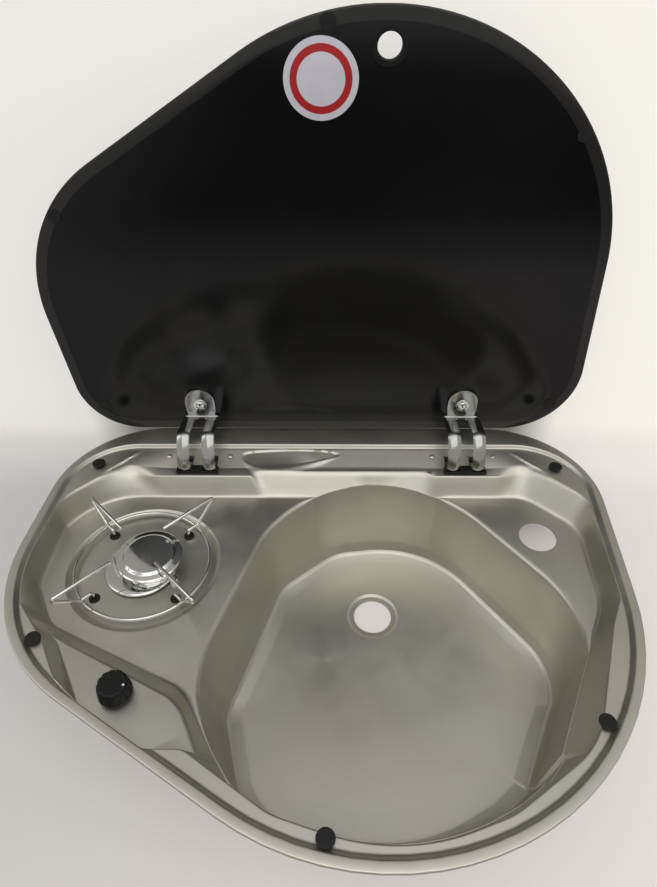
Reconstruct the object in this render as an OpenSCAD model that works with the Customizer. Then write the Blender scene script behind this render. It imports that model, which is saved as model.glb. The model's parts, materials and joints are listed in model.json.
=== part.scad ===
// Built-in hob and sink with a folding glass lid, seen with the lid raised.
// Millimetres. X to the right, Y to the back, Z up, worktop surface at Z = 0.

/* [Tray] */
// Overall width of the tray
tray_w = 600; // [570:1:640]
// Overall depth of the tray
tray_d = 460; // [440:1:480]
// Thickness of the pressed sheet
sheet = 0.8; // [0.6:0.1:1.2]
// Height of the raised rim above the worktop
rim_h = 3; // [2.5:0.1:4]
// Width of the flat rim at the sides and front
rim_w = 8; // [7:0.5:10]
// Width of the flat rim behind the lid
back_rim_w = 30; // [28:1:33]
// Radius of the two back corners
back_r = 110; // [95:1:118]
// Radius of the rim's inner line at the two back corners
rim_corner_r = 72; // [60:1:90]
// Radius of the bend at the left end of the slanted front
left_r = 175; // [150:1:185]
// Radius of the long curve round the bowl
front_r = 240; // [225:1:246]
// Depth of the ledge below the top of the rim
ledge_drop = 4; // [3:0.5:5]
// Depth of the hob deck below the worktop
deck_depth = 30; // [26:1:34]
// Depth of the knob panel below the worktop
panel_depth = 18; // [15:1:20]

/* [Bowl] */
// Depth of the bowl floor below the worktop
bowl_depth = 125; // [100:1:150]
// Radius where the bowl wall meets its floor
bowl_fillet = 18; // [12:1:24]
// Inward slope of the bowl wall from edge to floor
bowl_draft = 6; // [3:1:9]
// Radius of the waste hole
waste_r = 21; // [18:0.5:24]
// Radius of the seat round the waste hole
waste_seat_r = 29; // [27:0.5:33]
// Depth of that seat
waste_seat_drop = 2; // [1.5:0.5:4]
// Waste hole centre, to the right
waste_x = 57; // [30:1:80]
// Waste hole centre, to the back
waste_y = 54; // [30:1:70]
// Radius of the tap hole
tap_hole_r = 19.5; // [16:0.5:22]
// Distance of the tap hole's centre from the tray's right edge
tap_hole_in = 69; // [64:1:72]
// Tap hole centre, to the back
tap_hole_y = 89; // [84:1:94]

/* [Hob] */
// Distance of the burner dish's centre from the tray's left edge
hob_in = 117; // [116:1:122]
// Centre of the burner dish, to the back
hob_y = 52; // [48:1:57]
// Radius of the burner dish
dish_r = 77; // [74:1:80]
// Depth of the burner dish
dish_drop = 4; // [3:0.5:6]
// Burner axis, to the right of the dish centre
burner_dx = 10; // [0:1:11]
// Burner axis, behind the dish centre
burner_dy = -3; // [-6:1:2]
// Radius of the burner cap
cap_r = 33; // [28:0.5:35]
// Thickness of the burner cap
cap_h = 5; // [4.5:0.5:7]
// Radius of the burner base plate
base_r = 37; // [36:0.5:39]
// Radius of the burner neck
neck_r = 25; // [23:0.5:25.5]
// Radius of the pan support ring
ring_r = 68; // [66:0.5:70]
// Wire diameter of the pan support
wire_d = 3.5; // [2.5:0.5:4]
// Reach of each pan support arm along X and Y
arm_reach = 67; // [62:1:68]
// Distance of each grommet from the dish centre along X and Y
grommet_reach = 40; // [38:0.5:42]
// Lift of the pan support top above the worktop
support_top = 1.5; // [0:0.1:2]

/* [Knob and gas] */
// Distance of the knob's centre from the tray's left edge
knob_in = 129; // [126:1:132]
// Knob centre, to the back
knob_y = -95; // [-97:1:-93]
// Radius of the knob
knob_r = 14.5; // [13.5:0.5:16]
// Height of the knob
knob_h = 14; // [12:0.5:14.5]
// Travel of the knob when it is pressed
knob_press = 4; // [3:0.5:4.5]
// Radius of the tap spindle
spindle_r = 3; // [2.5:0.1:4]
// Radius of the turning plug in the gas tap
plug_r = 8; // [7:0.5:9]
// Radius of the supply pipe
inlet_r = 4; // [3:0.5:5]
// Radius of the burner pipe
pipe_r = 3; // [2.5:0.5:4]

/* [Lid] */
// Thickness of the glass lid
glass_t = 5; // [4:0.5:6]
// Distance of the lid edge inside the tray edge
lid_inset = 10; // [9.5:0.5:14]
// Radius of the lid's corner beside the right hinge
lid_right_r = 78; // [60:1:95]
// Radius of the lid's corner beside the left hinge
lid_left_r = 66; // [55:1:90]
// Height of the closed lid's underside above the worktop
lid_gap = 4; // [3.8:0.1:5]
// Angle of the raised lid
lid_open = 90; // [80:1:92]
// Height of the hinge axis below the worktop
hinge_drop = 9; // [8.5:0.1:10]
// Distance of the hinge axis in front of the tray's back edge
hinge_back = 14; // [13:0.5:15]
// Left hinge centre
left_hinge_x = -142; // [-146:1:-138]
// Right hinge centre
right_hinge_x = 162; // [158:1:164]
// Radius of the hinge pins
pin_r = 3; // [2.5:0.1:3.5]
// Width of one hinge arm
arm_w = 13; // [11:0.5:14]
// Gap between the two arms of a hinge
arm_gap = 15; // [14:0.5:16]
// Thickness of the hinge arms
arm_t = 2.5; // [2:0.1:3]
// Radius of the arms' curve about the hinge axis
arm_r = 51; // [50:0.5:52]
// Distance of the lid screws in front of the hinge axis, lid closed
screw_reach = 50; // [46:1:54]
// Radius of the finger hole in the lid
grip_r = 10; // [8:0.5:12]
// Finger hole centre, to the right
grip_x = 55; // [30:1:80]
// Distance of the finger hole centre behind the tray's front edge
grip_in = 38; // [34:1:50]
// Radius of the round sticker
sticker_r = 31; // [25:1:35]
// Distance between the round sticker and the front rest pad
sticker_gap = 2.5; // [2:0.5:12]

/* [Fits] */
// Running clearance of pins and spindles
run = 0.05; // [0.02:0.01:0.1]
// Clearance of soft and moving faces
gap = 0.3; // [0.2:0.05:0.5]

/* [Hidden] */
$fn = 96;
steel = "silver";
chrome = "lightgray";
black = "#1c1c1c";
tiny = 0.01;
eye = [70, -20];
rays = 96;
left = -tray_w / 2;
right = tray_w / 2;
back = tray_d / 2;
front = -tray_d / 2;
hob_x = left + hob_in;
knob_x = left + knob_in;
tap_hole_x = right - tap_hole_in;
ledge_z = rim_h - ledge_drop;
deck_z = -deck_depth;
panel_z = -panel_depth;
floor_z = -bowl_depth;
dish_z = deck_z - dish_drop;
step_w = 4;
ledge_w = 8.5;
seal_w = 5;
hinge_y = back - hinge_back;
hinge_z = -hinge_drop;
hinges = [left_hinge_x, right_hinge_x];

// The tray edge: straight back, two back corners, a bend on the left, a slanted front, one long curve
edge = [[right + 9, back, back_r], [left + 16, back, back_r], [left - 7, -53, left_r],
        [right - 39, front - 168, front_r]];

function unit(v) = v / norm(v);
function turned(v) = [-v[1], v[0]];
function cross2(a, b) = a[0] * b[1] - a[1] * b[0];
function xy(p) = [p[0], p[1]];
function meet(p, u, q, v) = p + u * cross2(q - p, v) / cross2(u, v);

// Corners moved inwards, by its own distance for the side that follows each corner
function inset(c, d) = [for (i = [0 : len(c) - 1])
    let (n = len(c), a = xy(c[(i + n - 1) % n]), b = xy(c[i]), e = xy(c[(i + 1) % n]),
         u = unit(b - a), v = unit(e - b), du = d[(i + n - 1) % n], dv = d[i],
         p = meet(a + turned(u) * du, u, b + turned(v) * dv, v),
         r = c[i][2] - min(du, dv))
    [p[0], p[1], max(r, 1)]];
function even(c, d) = inset(c, [for (i = c) d]);

// A closed outline with an arc at each corner
function rounded(c, n = 12) = [for (i = [0 : len(c) - 1])
    let (m = len(c), a = xy(c[(i + m - 1) % m]), b = xy(c[i]), e = xy(c[(i + 1) % m]), r = c[i][2],
         u = unit(a - b), v = unit(e - b), h = acos(u * v) / 2, k = b + u * r / tan(h),
         mid = b + unit(u + v) * r / sin(h), a0 = atan2(k[1] - mid[1], k[0] - mid[0]),
         step = sign(cross2(-u, v)) * (180 - 2 * h) / n)
    for (j = [0 : n]) mid + r * [cos(a0 + step * j), sin(a0 + step * j)]];

// Distance from the eye to an outline along angle a, and the spot and facing there
function reach(pts, a) = let (u = [cos(a), sin(a)], n = len(pts))
    max([for (i = [0 : n - 1])
        let (p = pts[i] - eye, q = pts[(i + 1) % n] - eye, s = cross2(u, p), t = cross2(u, q))
        s * t <= 0 && s != t ? (p + (q - p) * s / (s - t)) * u : 0]);
function spot(pts, a) = eye + reach(pts, a) * [cos(a), sin(a)];
function facing(pts, a) = let (v = spot(pts, a + 1) - spot(pts, a - 1)) atan2(-v[0], v[1]);

// Outlines at each level of the pressing
function cornered(c, r) = [for (i = [0 : len(c) - 1]) [c[i][0], c[i][1], i < 2 ? r : c[i][2]]];
rim_in = rounded(cornered(inset(edge, [back_rim_w, rim_w, rim_w, rim_w]), rim_corner_r));
step_foot = rounded(cornered(inset(edge, [back_rim_w + 2, rim_w + step_w, rim_w + step_w, rim_w + step_w]),
                             rim_corner_r - 4));
ledge_line = rounded(even(edge, rim_w + step_w + ledge_w));
shelf_y = back - 59;
bevel_y = shelf_y - 13;
wall_y = bevel_y - 11;
ledge_in = rounded([[right - 60, shelf_y, 5], [right - 13, shelf_y - 66, 25], [right - 19, -1, 40],
                    [right - 83, front + 87, 88], [141, front + 38, 82], [58, front + 10, 177],
                    [-35, front + 38, 60], [-118, -140, 10], [left + 76, -101, 10], [left + 15, 5, 20],
                    [left + 20, 96, 20],
                    [left + 71, shelf_y, 5]]);
bevel = rounded([[right - 60, bevel_y, 22], [right - 14, bevel_y - 62, 30], [right, -150, 20],
                 [80, front, 20], [left, -80, 20], [left + 16, 82, 40], [left + 67, bevel_y, 22]]);
panel_in = rounded([[right - 69, wall_y + 5, 34], [right - 19, bevel_y - 57, 45], [right - 26, 0, 68],
                    [192, front + 77, 120], [89, front - 28, 204], [-70, -165, 30], [-96, -145, 20],
                    [-118, -100, 14], [left + 40, -32, 20], [left + 18, 10, 40], [left + 18, 86, 40],
                    [left + 57, wall_y + 5, 25]]);
deck_out = rounded([[right - 71, wall_y, 34], [right - 22, wall_y - 46, 47], [right - 29, 1, 68],
                    [190, front + 80, 120], [89, front - 25, 204], [-68, -167, 50], [-92, -145, 19],
                    [-115, -91, 14], [left + 45, -24, 18], [left + 18, 29, 45], [left + 23, 96, 88],
                    [left + 70, wall_y, 25]]);
bowl_edge = rounded([[247, 8, 117], [126, 172, 145], [-11, 162, 142], [-62, 91, 107], [-119, -89, 130],
                     [-62, -171, 81], [60, front + 8, 205], [241, -132, 165]]);
bowl_foot = rounded(even([[237, -10, 71], [123, 150, 115], [17, 135, 50], [-44, 85, 37], [-91, -65, 40],
                          [-64, -161, 59], [77, front + 33, 179], [214, -125, 144]], bowl_draft - 11));
panel_from = 195;
panel_to = 213;
crescent_from = 183;

function in_panel(a) = a > panel_from && a < panel_to;
function in_crescent(a) = a > crescent_from && a <= panel_from;

// Section of the top surface along one ray, from the outer edge to the bowl floor
function section(a) =
    let (o = reach(rounded(edge), a), f = reach(rim_in, a), s = min(reach(step_foot, a), f - 0.6),
         l = min(reach(ledge_in, a), reach(ledge_line, a), s - 0.6), v = min(reach(bevel, a), l - 1.5),
         p = min(reach(panel_in, a), v - 1.5), k = min(reach(deck_out, a), p - 1.5),
         cut = a > 60 && a < 125 ? max(0, min(0.6, (reach(bowl_edge, a) - k) / 34)) : 0,
         k2 = k + cut * (v - k), k_z = deck_z + cut * (ledge_z - 6 - deck_z),
         p2 = cut > 0 ? (k2 + v) / 2 : p, p_z = cut > 0 ? (k_z + ledge_z - 6) / 2 : panel_z,
         b = min(reach(bowl_edge, a), k2 - 0.6), w = min(reach(bowl_foot, a), b - 5), c = bowl_fillet)
    [[o, 0], [o, rim_h - 1], [o - 1, rim_h], [f, rim_h],
     in_panel(a) ? [s, panel_z] : [s, ledge_z],
     in_panel(a) ? [s - 0.6, panel_z] : [l, ledge_z],
     in_panel(a) ? [s - 1.2, panel_z] : in_crescent(a) ? [max(l - 11, p + 0.5), panel_z] : [v, ledge_z - 6],
     [p2, p_z], [k2, k_z], [b, k_z], [b - 3, k_z - 2], [b - 4, k_z - 6],
     [w, floor_z + c], [w - c * (1 - cos(30)), floor_z + c * (1 - sin(30))],
     [w - c * (1 - cos(60)), floor_z + c * (1 - sin(60))], [w - c, floor_z]];

// Points of a polyline moved to one side by t, with mitred corners
function shifted(p, t) = [for (i = [0 : len(p) - 1])
    let (a = turned(unit(p[max(i, 1)] - p[max(i, 1) - 1])),
         b = turned(unit(p[min(i, len(p) - 2) + 1] - p[min(i, len(p) - 2)])))
    p[i] + (a + b) * t / (1 + a * b)];
function reversed(p) = [for (i = [len(p) - 1 : -1 : 0]) p[i]];
function strip(p, t) = concat(shifted(p, t / 2), reversed(shifted(p, -t / 2)));

module pressing() {
    loops = [for (i = [0 : rays - 1]) let (a = i * 360 / rays, s = section(a))
        [for (q = concat(s, reversed(shifted(s, sheet))))
            [eye[0] + q[0] * cos(a), eye[1] + q[0] * sin(a), q[1]]]];
    m = len(loops[0]);
    top = rays * m;
    half = m / 2;
    points = concat([for (l = loops) for (p = l) p],
                    [[eye[0], eye[1], floor_z], [eye[0], eye[1], floor_z - sheet]]);
    faces = concat(
        [for (i = [0 : rays - 1]) for (j = [0 : m - 1])
            let (i2 = (i + 1) % rays, j2 = (j + 1) % m) if (j != half - 1)
            each [[i * m + j, i * m + j2, i2 * m + j2], [i * m + j, i2 * m + j2, i2 * m + j]]],
        [for (i = [0 : rays - 1]) let (i2 = (i + 1) % rays)
            each [[i * m + half - 1, top, i2 * m + half - 1], [i * m + half, i2 * m + half, top + 1]]]);
    polyhedron(points, faces, convexity = 12);
}

// Where the rubber stops and the fixing lugs stand, by angle round the eye
stop_r = 7;
stem_r = 2;
pad_r = stop_r - 0.5;
stop_at = [[-34.2, 17], [43.8, 24], [149.7, 24], [186.1, 17], [251.1, 17]];
stops = [for (q = stop_at) spot(rounded(even(edge, q[1])), q[0])];
stop_top = lid_gap - 1 - gap;
lug_line = rounded(even(edge, rim_w + step_w + 1));
lug_angles = [-15, -58, -100, 232, 37, 156];
back_lugs = [-40, 62];
back_lug_y = back - 10;
lug_drop = 22;
lug_hole_r = 2.2;
lug_foot = 6;
lug_t = 1.2;

burner = [hob_x + burner_dx, hob_y + burner_dy];
base = [hob_x - 1.5, hob_y - 3];
cap_z = deck_z + 15;
head_z = deck_z + 1;
cup_r = 20;
cup_z = -62;
jet_z = -50;
jet_y = burner[1] - 34;
probe = [burner[0] - cap_r - 4, burner[1] - 2];
probe_r = 2;
probe_top = cap_z + 3;
ring_z = dish_z + 6;
tip_z = support_top - wire_d / 2;
inner_reach = 22;
hole_clear = 0.1;
tap_w = 22;
tap_top = panel_z - sheet;
tap_bottom = tap_top - 28;
tap_neck_r = 7;
neck_top = panel_z + 3.5;
knob_top = support_top;
knob_bottom = knob_top - knob_h;
spindle_top = knob_top - 4;
spindle_bottom = tap_top - 14;
inlet = [knob_x - 5, knob_y - 6];
inlet_end = -95;
outlet_y = knob_y + tap_w / 2;
arms_w = arm_gap + 2 * arm_w;
trim_w = arms_w + 6;
slot_front = shelf_y - 10;
notch_back = hinge_y - 28.5;
face_y = lid_gap - hinge_z;
gasket_t = 0.6;
tab_y = face_y - gasket_t - arm_t / 2;
bend_z = 31.5;
tab_r = 17;
tab_top = screw_reach + 21;
screw_r = 2.9;
screw_head_r = 5;
screw_washer_r = 7.5;
rivet_x = 35;
rivet_y = hinge_y - 29;
rivet_r = 2;
cheek_t = 1.5;
cheek_x = arms_w / 2 + 1;
grip_y = front + grip_in;
sticker_y = stops[4][1] + pad_r + sticker_gap + sticker_r;

module at(p) translate([p[0], p[1], 0]) children();
module tube(r, z0, z1) translate([0, 0, z0]) cylinder(r = r, h = z1 - z0);
module along_x(r, x0, x1) rotate([0, 90, 0]) translate([0, 0, x0]) cylinder(r = r, h = x1 - x0);
module along_y(r, y0, y1) rotate([-90, 0, 0]) translate([0, 0, y0]) cylinder(r = r, h = y1 - y0);
module across(w) rotate([90, 0, 90]) translate([0, 0, -w / 2]) linear_extrude(w) children();
module box(a, b) translate(a) cube(b - a);
module rod(a, b, r) {
    v = b - a;
    translate(a) rotate([0, acos(v[2] / norm(v)), atan2(v[1], v[0])]) cylinder(r = r, h = norm(v), $fn = 24);
}
module bead(p, r) translate(p) sphere(r = r + 0.06, $fn = 24);

// A round wire or pipe through points, bent to one radius at each inner point
bend_lap = 0.1;
module bent(line, r, bend) {
    n = len(line);
    way = [for (i = [0 : n - 2]) unit(line[i + 1] - line[i])];
    turn = [for (i = [0 : n - 1]) i == 0 || i == n - 1 ? 0 : acos(way[i - 1] * way[i])];
    cut = [for (i = [0 : n - 1]) i == 0 || i == n - 1 ? 0 : bend * tan(turn[i] / 2) - bend_lap];
    for (i = [0 : n - 2]) rod(line[i] + way[i] * cut[i], line[i + 1] - way[i] * cut[i + 1], r);
    for (i = [1 : n - 2]) {
        z = unit(cross(way[i - 1], way[i]));
        x = cross(way[i - 1], z);
        y = way[i - 1];
        start = line[i] - y * bend * tan(turn[i] / 2) - x * bend;
        multmatrix([[x[0], y[0], z[0], start[0]], [x[1], y[1], z[1], start[1]], [x[2], y[2], z[2], start[2]],
                    [0, 0, 0, 1]])
            rotate_extrude(angle = turn[i]) translate([bend, 0]) circle(r + 4 * tiny, $fn = 24);
    }
}
module lid_up() translate([0, hinge_y, hinge_z]) rotate([-lid_open, 0, 0])
    translate([0, -hinge_y, -hinge_z]) children();
module raised() translate([0, hinge_y, hinge_z]) rotate([90 - lid_open, 0, 0]) children();

// A coil of wire about Z, as one tube of six sides with eight rings a turn
coil_rings = 8;
coil_sides = 6;
function coil_path(r, pitch, turns) = [for (i = [0 : coil_rings * turns])
    let (a = 360 * i / coil_rings) [r * cos(a), r * sin(a), pitch * i / coil_rings, a]];
function coil_gap(r, pitch, turns, d) = let (p = coil_path(r, pitch, turns), n = len(p))
    min([for (i = [0 : n - coil_rings]) for (j = [i + coil_rings - 1 : min(n - 1, i + coil_rings + 1)])
        norm([p[i][0], p[i][1], p[i][2]] - [p[j][0], p[j][1], p[j][2]])]) - d;
module coil(r, pitch, turns, d) {
    path = coil_path(r, pitch, turns);
    n = len(path);
    points = [for (q = path) for (k = [0 : coil_sides - 1])
        let (b = 360 * k / coil_sides, h = r + cos(b) * d / 2)
        [h * cos(q[3]), h * sin(q[3]), q[2] + sin(b) * d / 2]];
    faces = concat([[for (k = [0 : coil_sides - 1]) k]],
        [for (i = [0 : n - 2]) for (k = [0 : coil_sides - 1])
            let (k2 = (k + 1) % coil_sides, a = i * coil_sides, b = a + coil_sides)
            each [[a + k, b + k, b + k2], [a + k, b + k2, a + k2]]],
        [[for (k = [coil_sides - 1 : -1 : 0]) (n - 1) * coil_sides + k]]);
    polyhedron(points, faces, convexity = 8);
}

module dish() at([hob_x, hob_y]) rotate_extrude()
    polygon([[0, dish_z], [dish_r - 5, dish_z], [dish_r, deck_z], [dish_r + tiny, deck_z],
             [dish_r + tiny, deck_z - sheet], [dish_r - 5 + sheet / 2, dish_z - sheet], [0, dish_z - sheet]]);

module waste_seat() at([waste_x, waste_y]) rotate_extrude()
    polygon([[waste_r, floor_z - waste_seat_drop], [waste_seat_r - 2, floor_z - waste_seat_drop],
             [waste_seat_r, floor_z], [waste_seat_r, floor_z - sheet],
             [waste_seat_r - 2 + sheet / 2, floor_z - waste_seat_drop - sheet],
             [waste_r, floor_z - waste_seat_drop - sheet]]);

module quarters(d) for (x = [-d, d], y = [-d, d]) at([hob_x + x, hob_y + y]) children();

module arm_slots(grow) for (h = hinges) {
    box([h - trim_w / 2 - grow, slot_front - grow, -20], [h + trim_w / 2 + grow, shelf_y + grow, 6]);
    for (s = [-1, 1]) let (m = h + s * (arm_gap + arm_w) / 2)
        box([m - arm_w / 2 - 1 - grow, shelf_y - 1, -20], [m + arm_w / 2 + 1 + grow, notch_back + grow, 6]);
}

module tray() color(steel) difference() {
    union() {
        difference() {
            pressing();
            at([hob_x, hob_y]) tube(dish_r, deck_z - 3, deck_z + 3);
            at([waste_x, waste_y]) tube(waste_seat_r, floor_z - 3, floor_z + 3);
        }
        dish();
        waste_seat();
    }
    at(burner) tube(cup_r + 1, dish_z - 4, dish_z + 3);
    quarters(grommet_reach) tube(4, dish_z - 4, dish_z + 3);
    at(probe) tube(probe_r + 1, dish_z - 4, dish_z + 3);
    at([tap_hole_x, tap_hole_y]) tube(tap_hole_r, deck_z - 3, deck_z + 3);
    at([knob_x, knob_y]) tube(tap_neck_r + hole_clear, panel_z - 3, panel_z + 3);
    for (p = stops) at(p) tube(stem_r + hole_clear, ledge_z - 3, ledge_z + 3);
    for (h = hinges, s = [-1, 1]) at([h + s * rivet_x, rivet_y])
        tube(rivet_r + hole_clear, ledge_z - 3, ledge_z + 3);
    arm_slots(0);
}

module rim_seal() color(black) difference() {
    linear_extrude(rim_h - sheet - 0.2) polygon(rounded(even(edge, 1.7)));
    translate([0, 0, -1]) linear_extrude(rim_h + 2) polygon(rounded(even(edge, 1.7 + seal_w)));
}

module lug() difference() {
    union() {
        box([-lug_foot, -8, -lug_t], [0, 8, 0]);
        box([-lug_t, -8, -lug_drop], [0, 8, 0]);
    }
    translate([0, 0, -14]) along_x(lug_hole_r, -5, 5);
}
module at_lugs() {
    for (a = lug_angles) translate([spot(lug_line, a)[0], spot(lug_line, a)[1], ledge_z - sheet - 0.05])
        rotate([0, 0, facing(lug_line, a)]) children();
    for (x = back_lugs) translate([x, back_lug_y, rim_h - sheet - 0.05]) rotate([0, 0, 90]) children();
}
module fixing_lugs() color(steel) at_lugs() lug();
module fixing_screws() color("gray") at_lugs() translate([0, 0, -14]) {
    along_x(lug_hole_r - hole_clear, -lug_t - 1, 6.5);
    along_x(4, -lug_t - 3, -lug_t);
}

module bumpers() color(black) for (p = stops) at(p) rotate_extrude($fn = 48)
    polygon([[0, ledge_z - sheet - 5], [stem_r - 0.7, ledge_z - sheet - 5], [stem_r + 0.6, ledge_z - sheet],
             [stem_r, ledge_z - sheet], [stem_r, ledge_z], [stop_r - 3.4, ledge_z], [stop_r, stop_top - 1.1],
             [stop_r, stop_top - 0.5], [stop_r - 0.5, stop_top], [0, stop_top]]);

lid_line = inset(edge, [back_rim_w - 3, lid_inset, lid_inset, lid_inset]);
lid_edge = [for (i = [0 : len(lid_line) - 1])
    [lid_line[i][0], lid_line[i][1], i == 0 ? lid_right_r : i == 1 ? lid_left_r : lid_line[i][2]]];
module lid_glass() color("#202226") lid_up() difference() {
    translate([0, 0, lid_gap]) linear_extrude(glass_t) polygon(rounded(lid_edge, 24));
    at([grip_x, grip_y]) tube(grip_r + 1.5, lid_gap - 1, lid_gap + glass_t + 1);
    for (h = hinges) at([h, hinge_y - screw_reach]) tube(screw_r + gap, lid_gap - 1, lid_gap + glass_t + 1);
}
module lid_pads() color(black) lid_up() for (p = stops) at(p) tube(pad_r, lid_gap - 1, lid_gap);
module lid_grip_ring() color(black) lid_up() at([grip_x, grip_y]) rotate_extrude()
    polygon([[grip_r, lid_gap - 1], [grip_r + 4.5, lid_gap - 1], [grip_r + 5, lid_gap],
             [grip_r + 1.5, lid_gap], [grip_r + 1.5, lid_gap + glass_t], [grip_r + 5, lid_gap + glass_t],
             [grip_r + 4.5, lid_gap + glass_t + 1], [grip_r, lid_gap + glass_t + 1]]);
module lid_sticker() color("white") lid_up() at([0, sticker_y]) tube(sticker_r, lid_gap - 0.2, lid_gap);

// One hinge arm: eye, leg under the shelf, curve about the axis, yoke and tab, drawn with the lid upright
bow = [for (a = [180 : -6.4 : 128]) arm_r * [cos(a), sin(a)]];
bend = [tab_y, bend_z];
arm_line = concat([[-4, 0]], bow, [bend, [tab_y, bend_z + 8]]);
yoke_drop = lid_gap - gasket_t - arm_t - ledge_z - gap;
yoke_start = bend + yoke_drop * unit(bow[len(bow) - 1] - bend);
module tab_shape(low, r) {
    translate([0, tab_top - r]) circle(r);
    translate([-r, low]) square([2 * r, tab_top - r - low]);
}
module tab_plate(y0, t, low, r) translate([0, y0 + t, 0]) rotate([90, 0, 0]) linear_extrude(t)
    tab_shape(low, r);
module hinge_arm(x) color(chrome) raised() translate([x, 0, 0]) difference() {
    union() {
        for (s = [-1, 1]) translate([s * (arm_gap + arm_w) / 2, 0, 0]) {
            across(arm_w) polygon(strip(arm_line, arm_t));
            along_x(pin_r + 3, -arm_w / 2, arm_w / 2);
        }
        across(arms_w) polygon(strip([yoke_start, bend, [tab_y, bend_z + 8]], arm_t));
        tab_plate(tab_y - arm_t / 2, arm_t, bend_z + 4, tab_r);
    }
    along_x(pin_r + run, -arms_w, arms_w);
    translate([0, 0, screw_reach]) along_y(screw_r + hole_clear, 0, 30);
    box([-arms_w, tab_y - 3, bend_z + 6], [-tab_r, tab_y + 3, bend_z + 12]);
    box([tab_r, tab_y - 3, bend_z + 6], [arms_w, tab_y + 3, bend_z + 12]);
}
module left_hinge_arm() hinge_arm(left_hinge_x);
module right_hinge_arm() hinge_arm(right_hinge_x);
module lid_gaskets() color(black) for (h = hinges) raised() translate([h, 0, 0]) difference() {
    tab_plate(face_y - gasket_t, gasket_t, bend_z + 6, tab_r - 1);
    translate([0, 0, screw_reach]) along_y(screw_r + hole_clear, 0, 30);
}
module lid_screws() color(chrome) for (h = hinges) raised() translate([h, 0, screw_reach]) difference() {
    union() {
        along_y(screw_head_r, tab_y - arm_t / 2 - 2.6, tab_y - arm_t / 2);
        along_y(screw_washer_r, tab_y - arm_t / 2 - 1.1, tab_y - arm_t / 2);
        along_y(screw_r, tab_y - arm_t / 2 - 1, face_y + glass_t + 3);
    }
    box([-0.6, tab_y - arm_t / 2 - 4, -3.5], [0.6, tab_y - arm_t / 2 - 1.4, 3.5]);
    box([-3.5, tab_y - arm_t / 2 - 4, -0.6], [3.5, tab_y - arm_t / 2 - 1.4, 0.6]);
}
module lid_nuts() color(black) for (h = hinges) raised() translate([h, 0, screw_reach]) difference() {
    rotate([-90, 0, 0]) rotate_extrude()
        polygon([[0, face_y + glass_t], [8, face_y + glass_t], [8, face_y + glass_t + 1.5],
                 [5, face_y + glass_t + 4.5], [0, face_y + glass_t + 5]]);
    along_y(screw_r + run, face_y + glass_t - 1, face_y + glass_t + 3.2);
}

module hinge_brackets() color("gray") for (h = hinges) translate([h, 0, 0]) difference() {
    union() {
        for (s = [-1, 1]) {
            translate([s * (cheek_x + cheek_t / 2), 0, 0]) across(cheek_t)
                polygon([[hinge_y - 42, ledge_z - sheet - 1.5], [hinge_y + 6, ledge_z - sheet - 1.5],
                         [hinge_y + 6, hinge_z - 3], [hinge_y, hinge_z - 7], [hinge_y - 42, hinge_z]]);
            box([s * (cheek_x + 12) - 12, hinge_y - 42, ledge_z - sheet - 1.5],
                [s * (cheek_x + 12) + 12, hinge_y - 20, ledge_z - sheet]);
        }
        box([-cheek_x, notch_back + 1, ledge_z - sheet - 1.5], [cheek_x, hinge_y - 20, ledge_z - sheet]);
    }
    translate([0, hinge_y, hinge_z]) along_x(pin_r + 0.02, -40, 40);
    for (s = [-1, 1]) at([s * rivet_x, rivet_y]) tube(rivet_r + hole_clear, -10, 10);
}
module hinge_pins() color(chrome) for (h = hinges) translate([h, hinge_y, hinge_z]) {
    along_x(pin_r, -cheek_x - cheek_t - 1, cheek_x + cheek_t + 1);
    for (s = [-1, 1]) let (m = s * (cheek_x + cheek_t + 0.8)) along_x(pin_r + 1.5, m - 0.7, m + 0.7);
}
spring_d = 1.6;
spring_r = pin_r + spring_d / 2 + gap;
spring_pitch = 2.4;
spring_turns = 5;
module hinge_springs() color("silver") for (h = hinges)
    translate([h - spring_pitch * spring_turns / 2, hinge_y, hinge_z]) rotate([0, 90, 0])
    coil(spring_r, spring_pitch, spring_turns, spring_d);
module bracket_rivets() color(steel) for (h = hinges, s = [-1, 1]) at([h + s * rivet_x, rivet_y]) {
    tube(rivet_r, ledge_z - sheet - 2, ledge_z + 0.5);
    translate([0, 0, ledge_z]) cylinder(r1 = rivet_r + 1.5, r2 = rivet_r, h = 1.2);
    tube(rivet_r + 1.3, ledge_z - sheet - 2.6, ledge_z - sheet - 1.5);
}
module slot_trims() color(black) for (h = hinges) difference() {
    union() {
        box([h - trim_w / 2 + 0.2, slot_front + 0.2, ledge_z - 8],
            [h + trim_w / 2 - 0.2, shelf_y - 0.2, ledge_z - 3.2]);
        box([h - arm_gap / 2 + 1.3, slot_front + 0.2, ledge_z - 8],
            [h + arm_gap / 2 - 1.3, shelf_y - 0.2, ledge_z - 1.5]);
    }
    for (s = [-1, 1]) let (m = h + s * (arm_gap + arm_w) / 2)
        box([m - arm_w / 2 - 0.8, slot_front + 1.5, -20], [m + arm_w / 2 + 0.8, shelf_y + 3, 6]);
}

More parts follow.
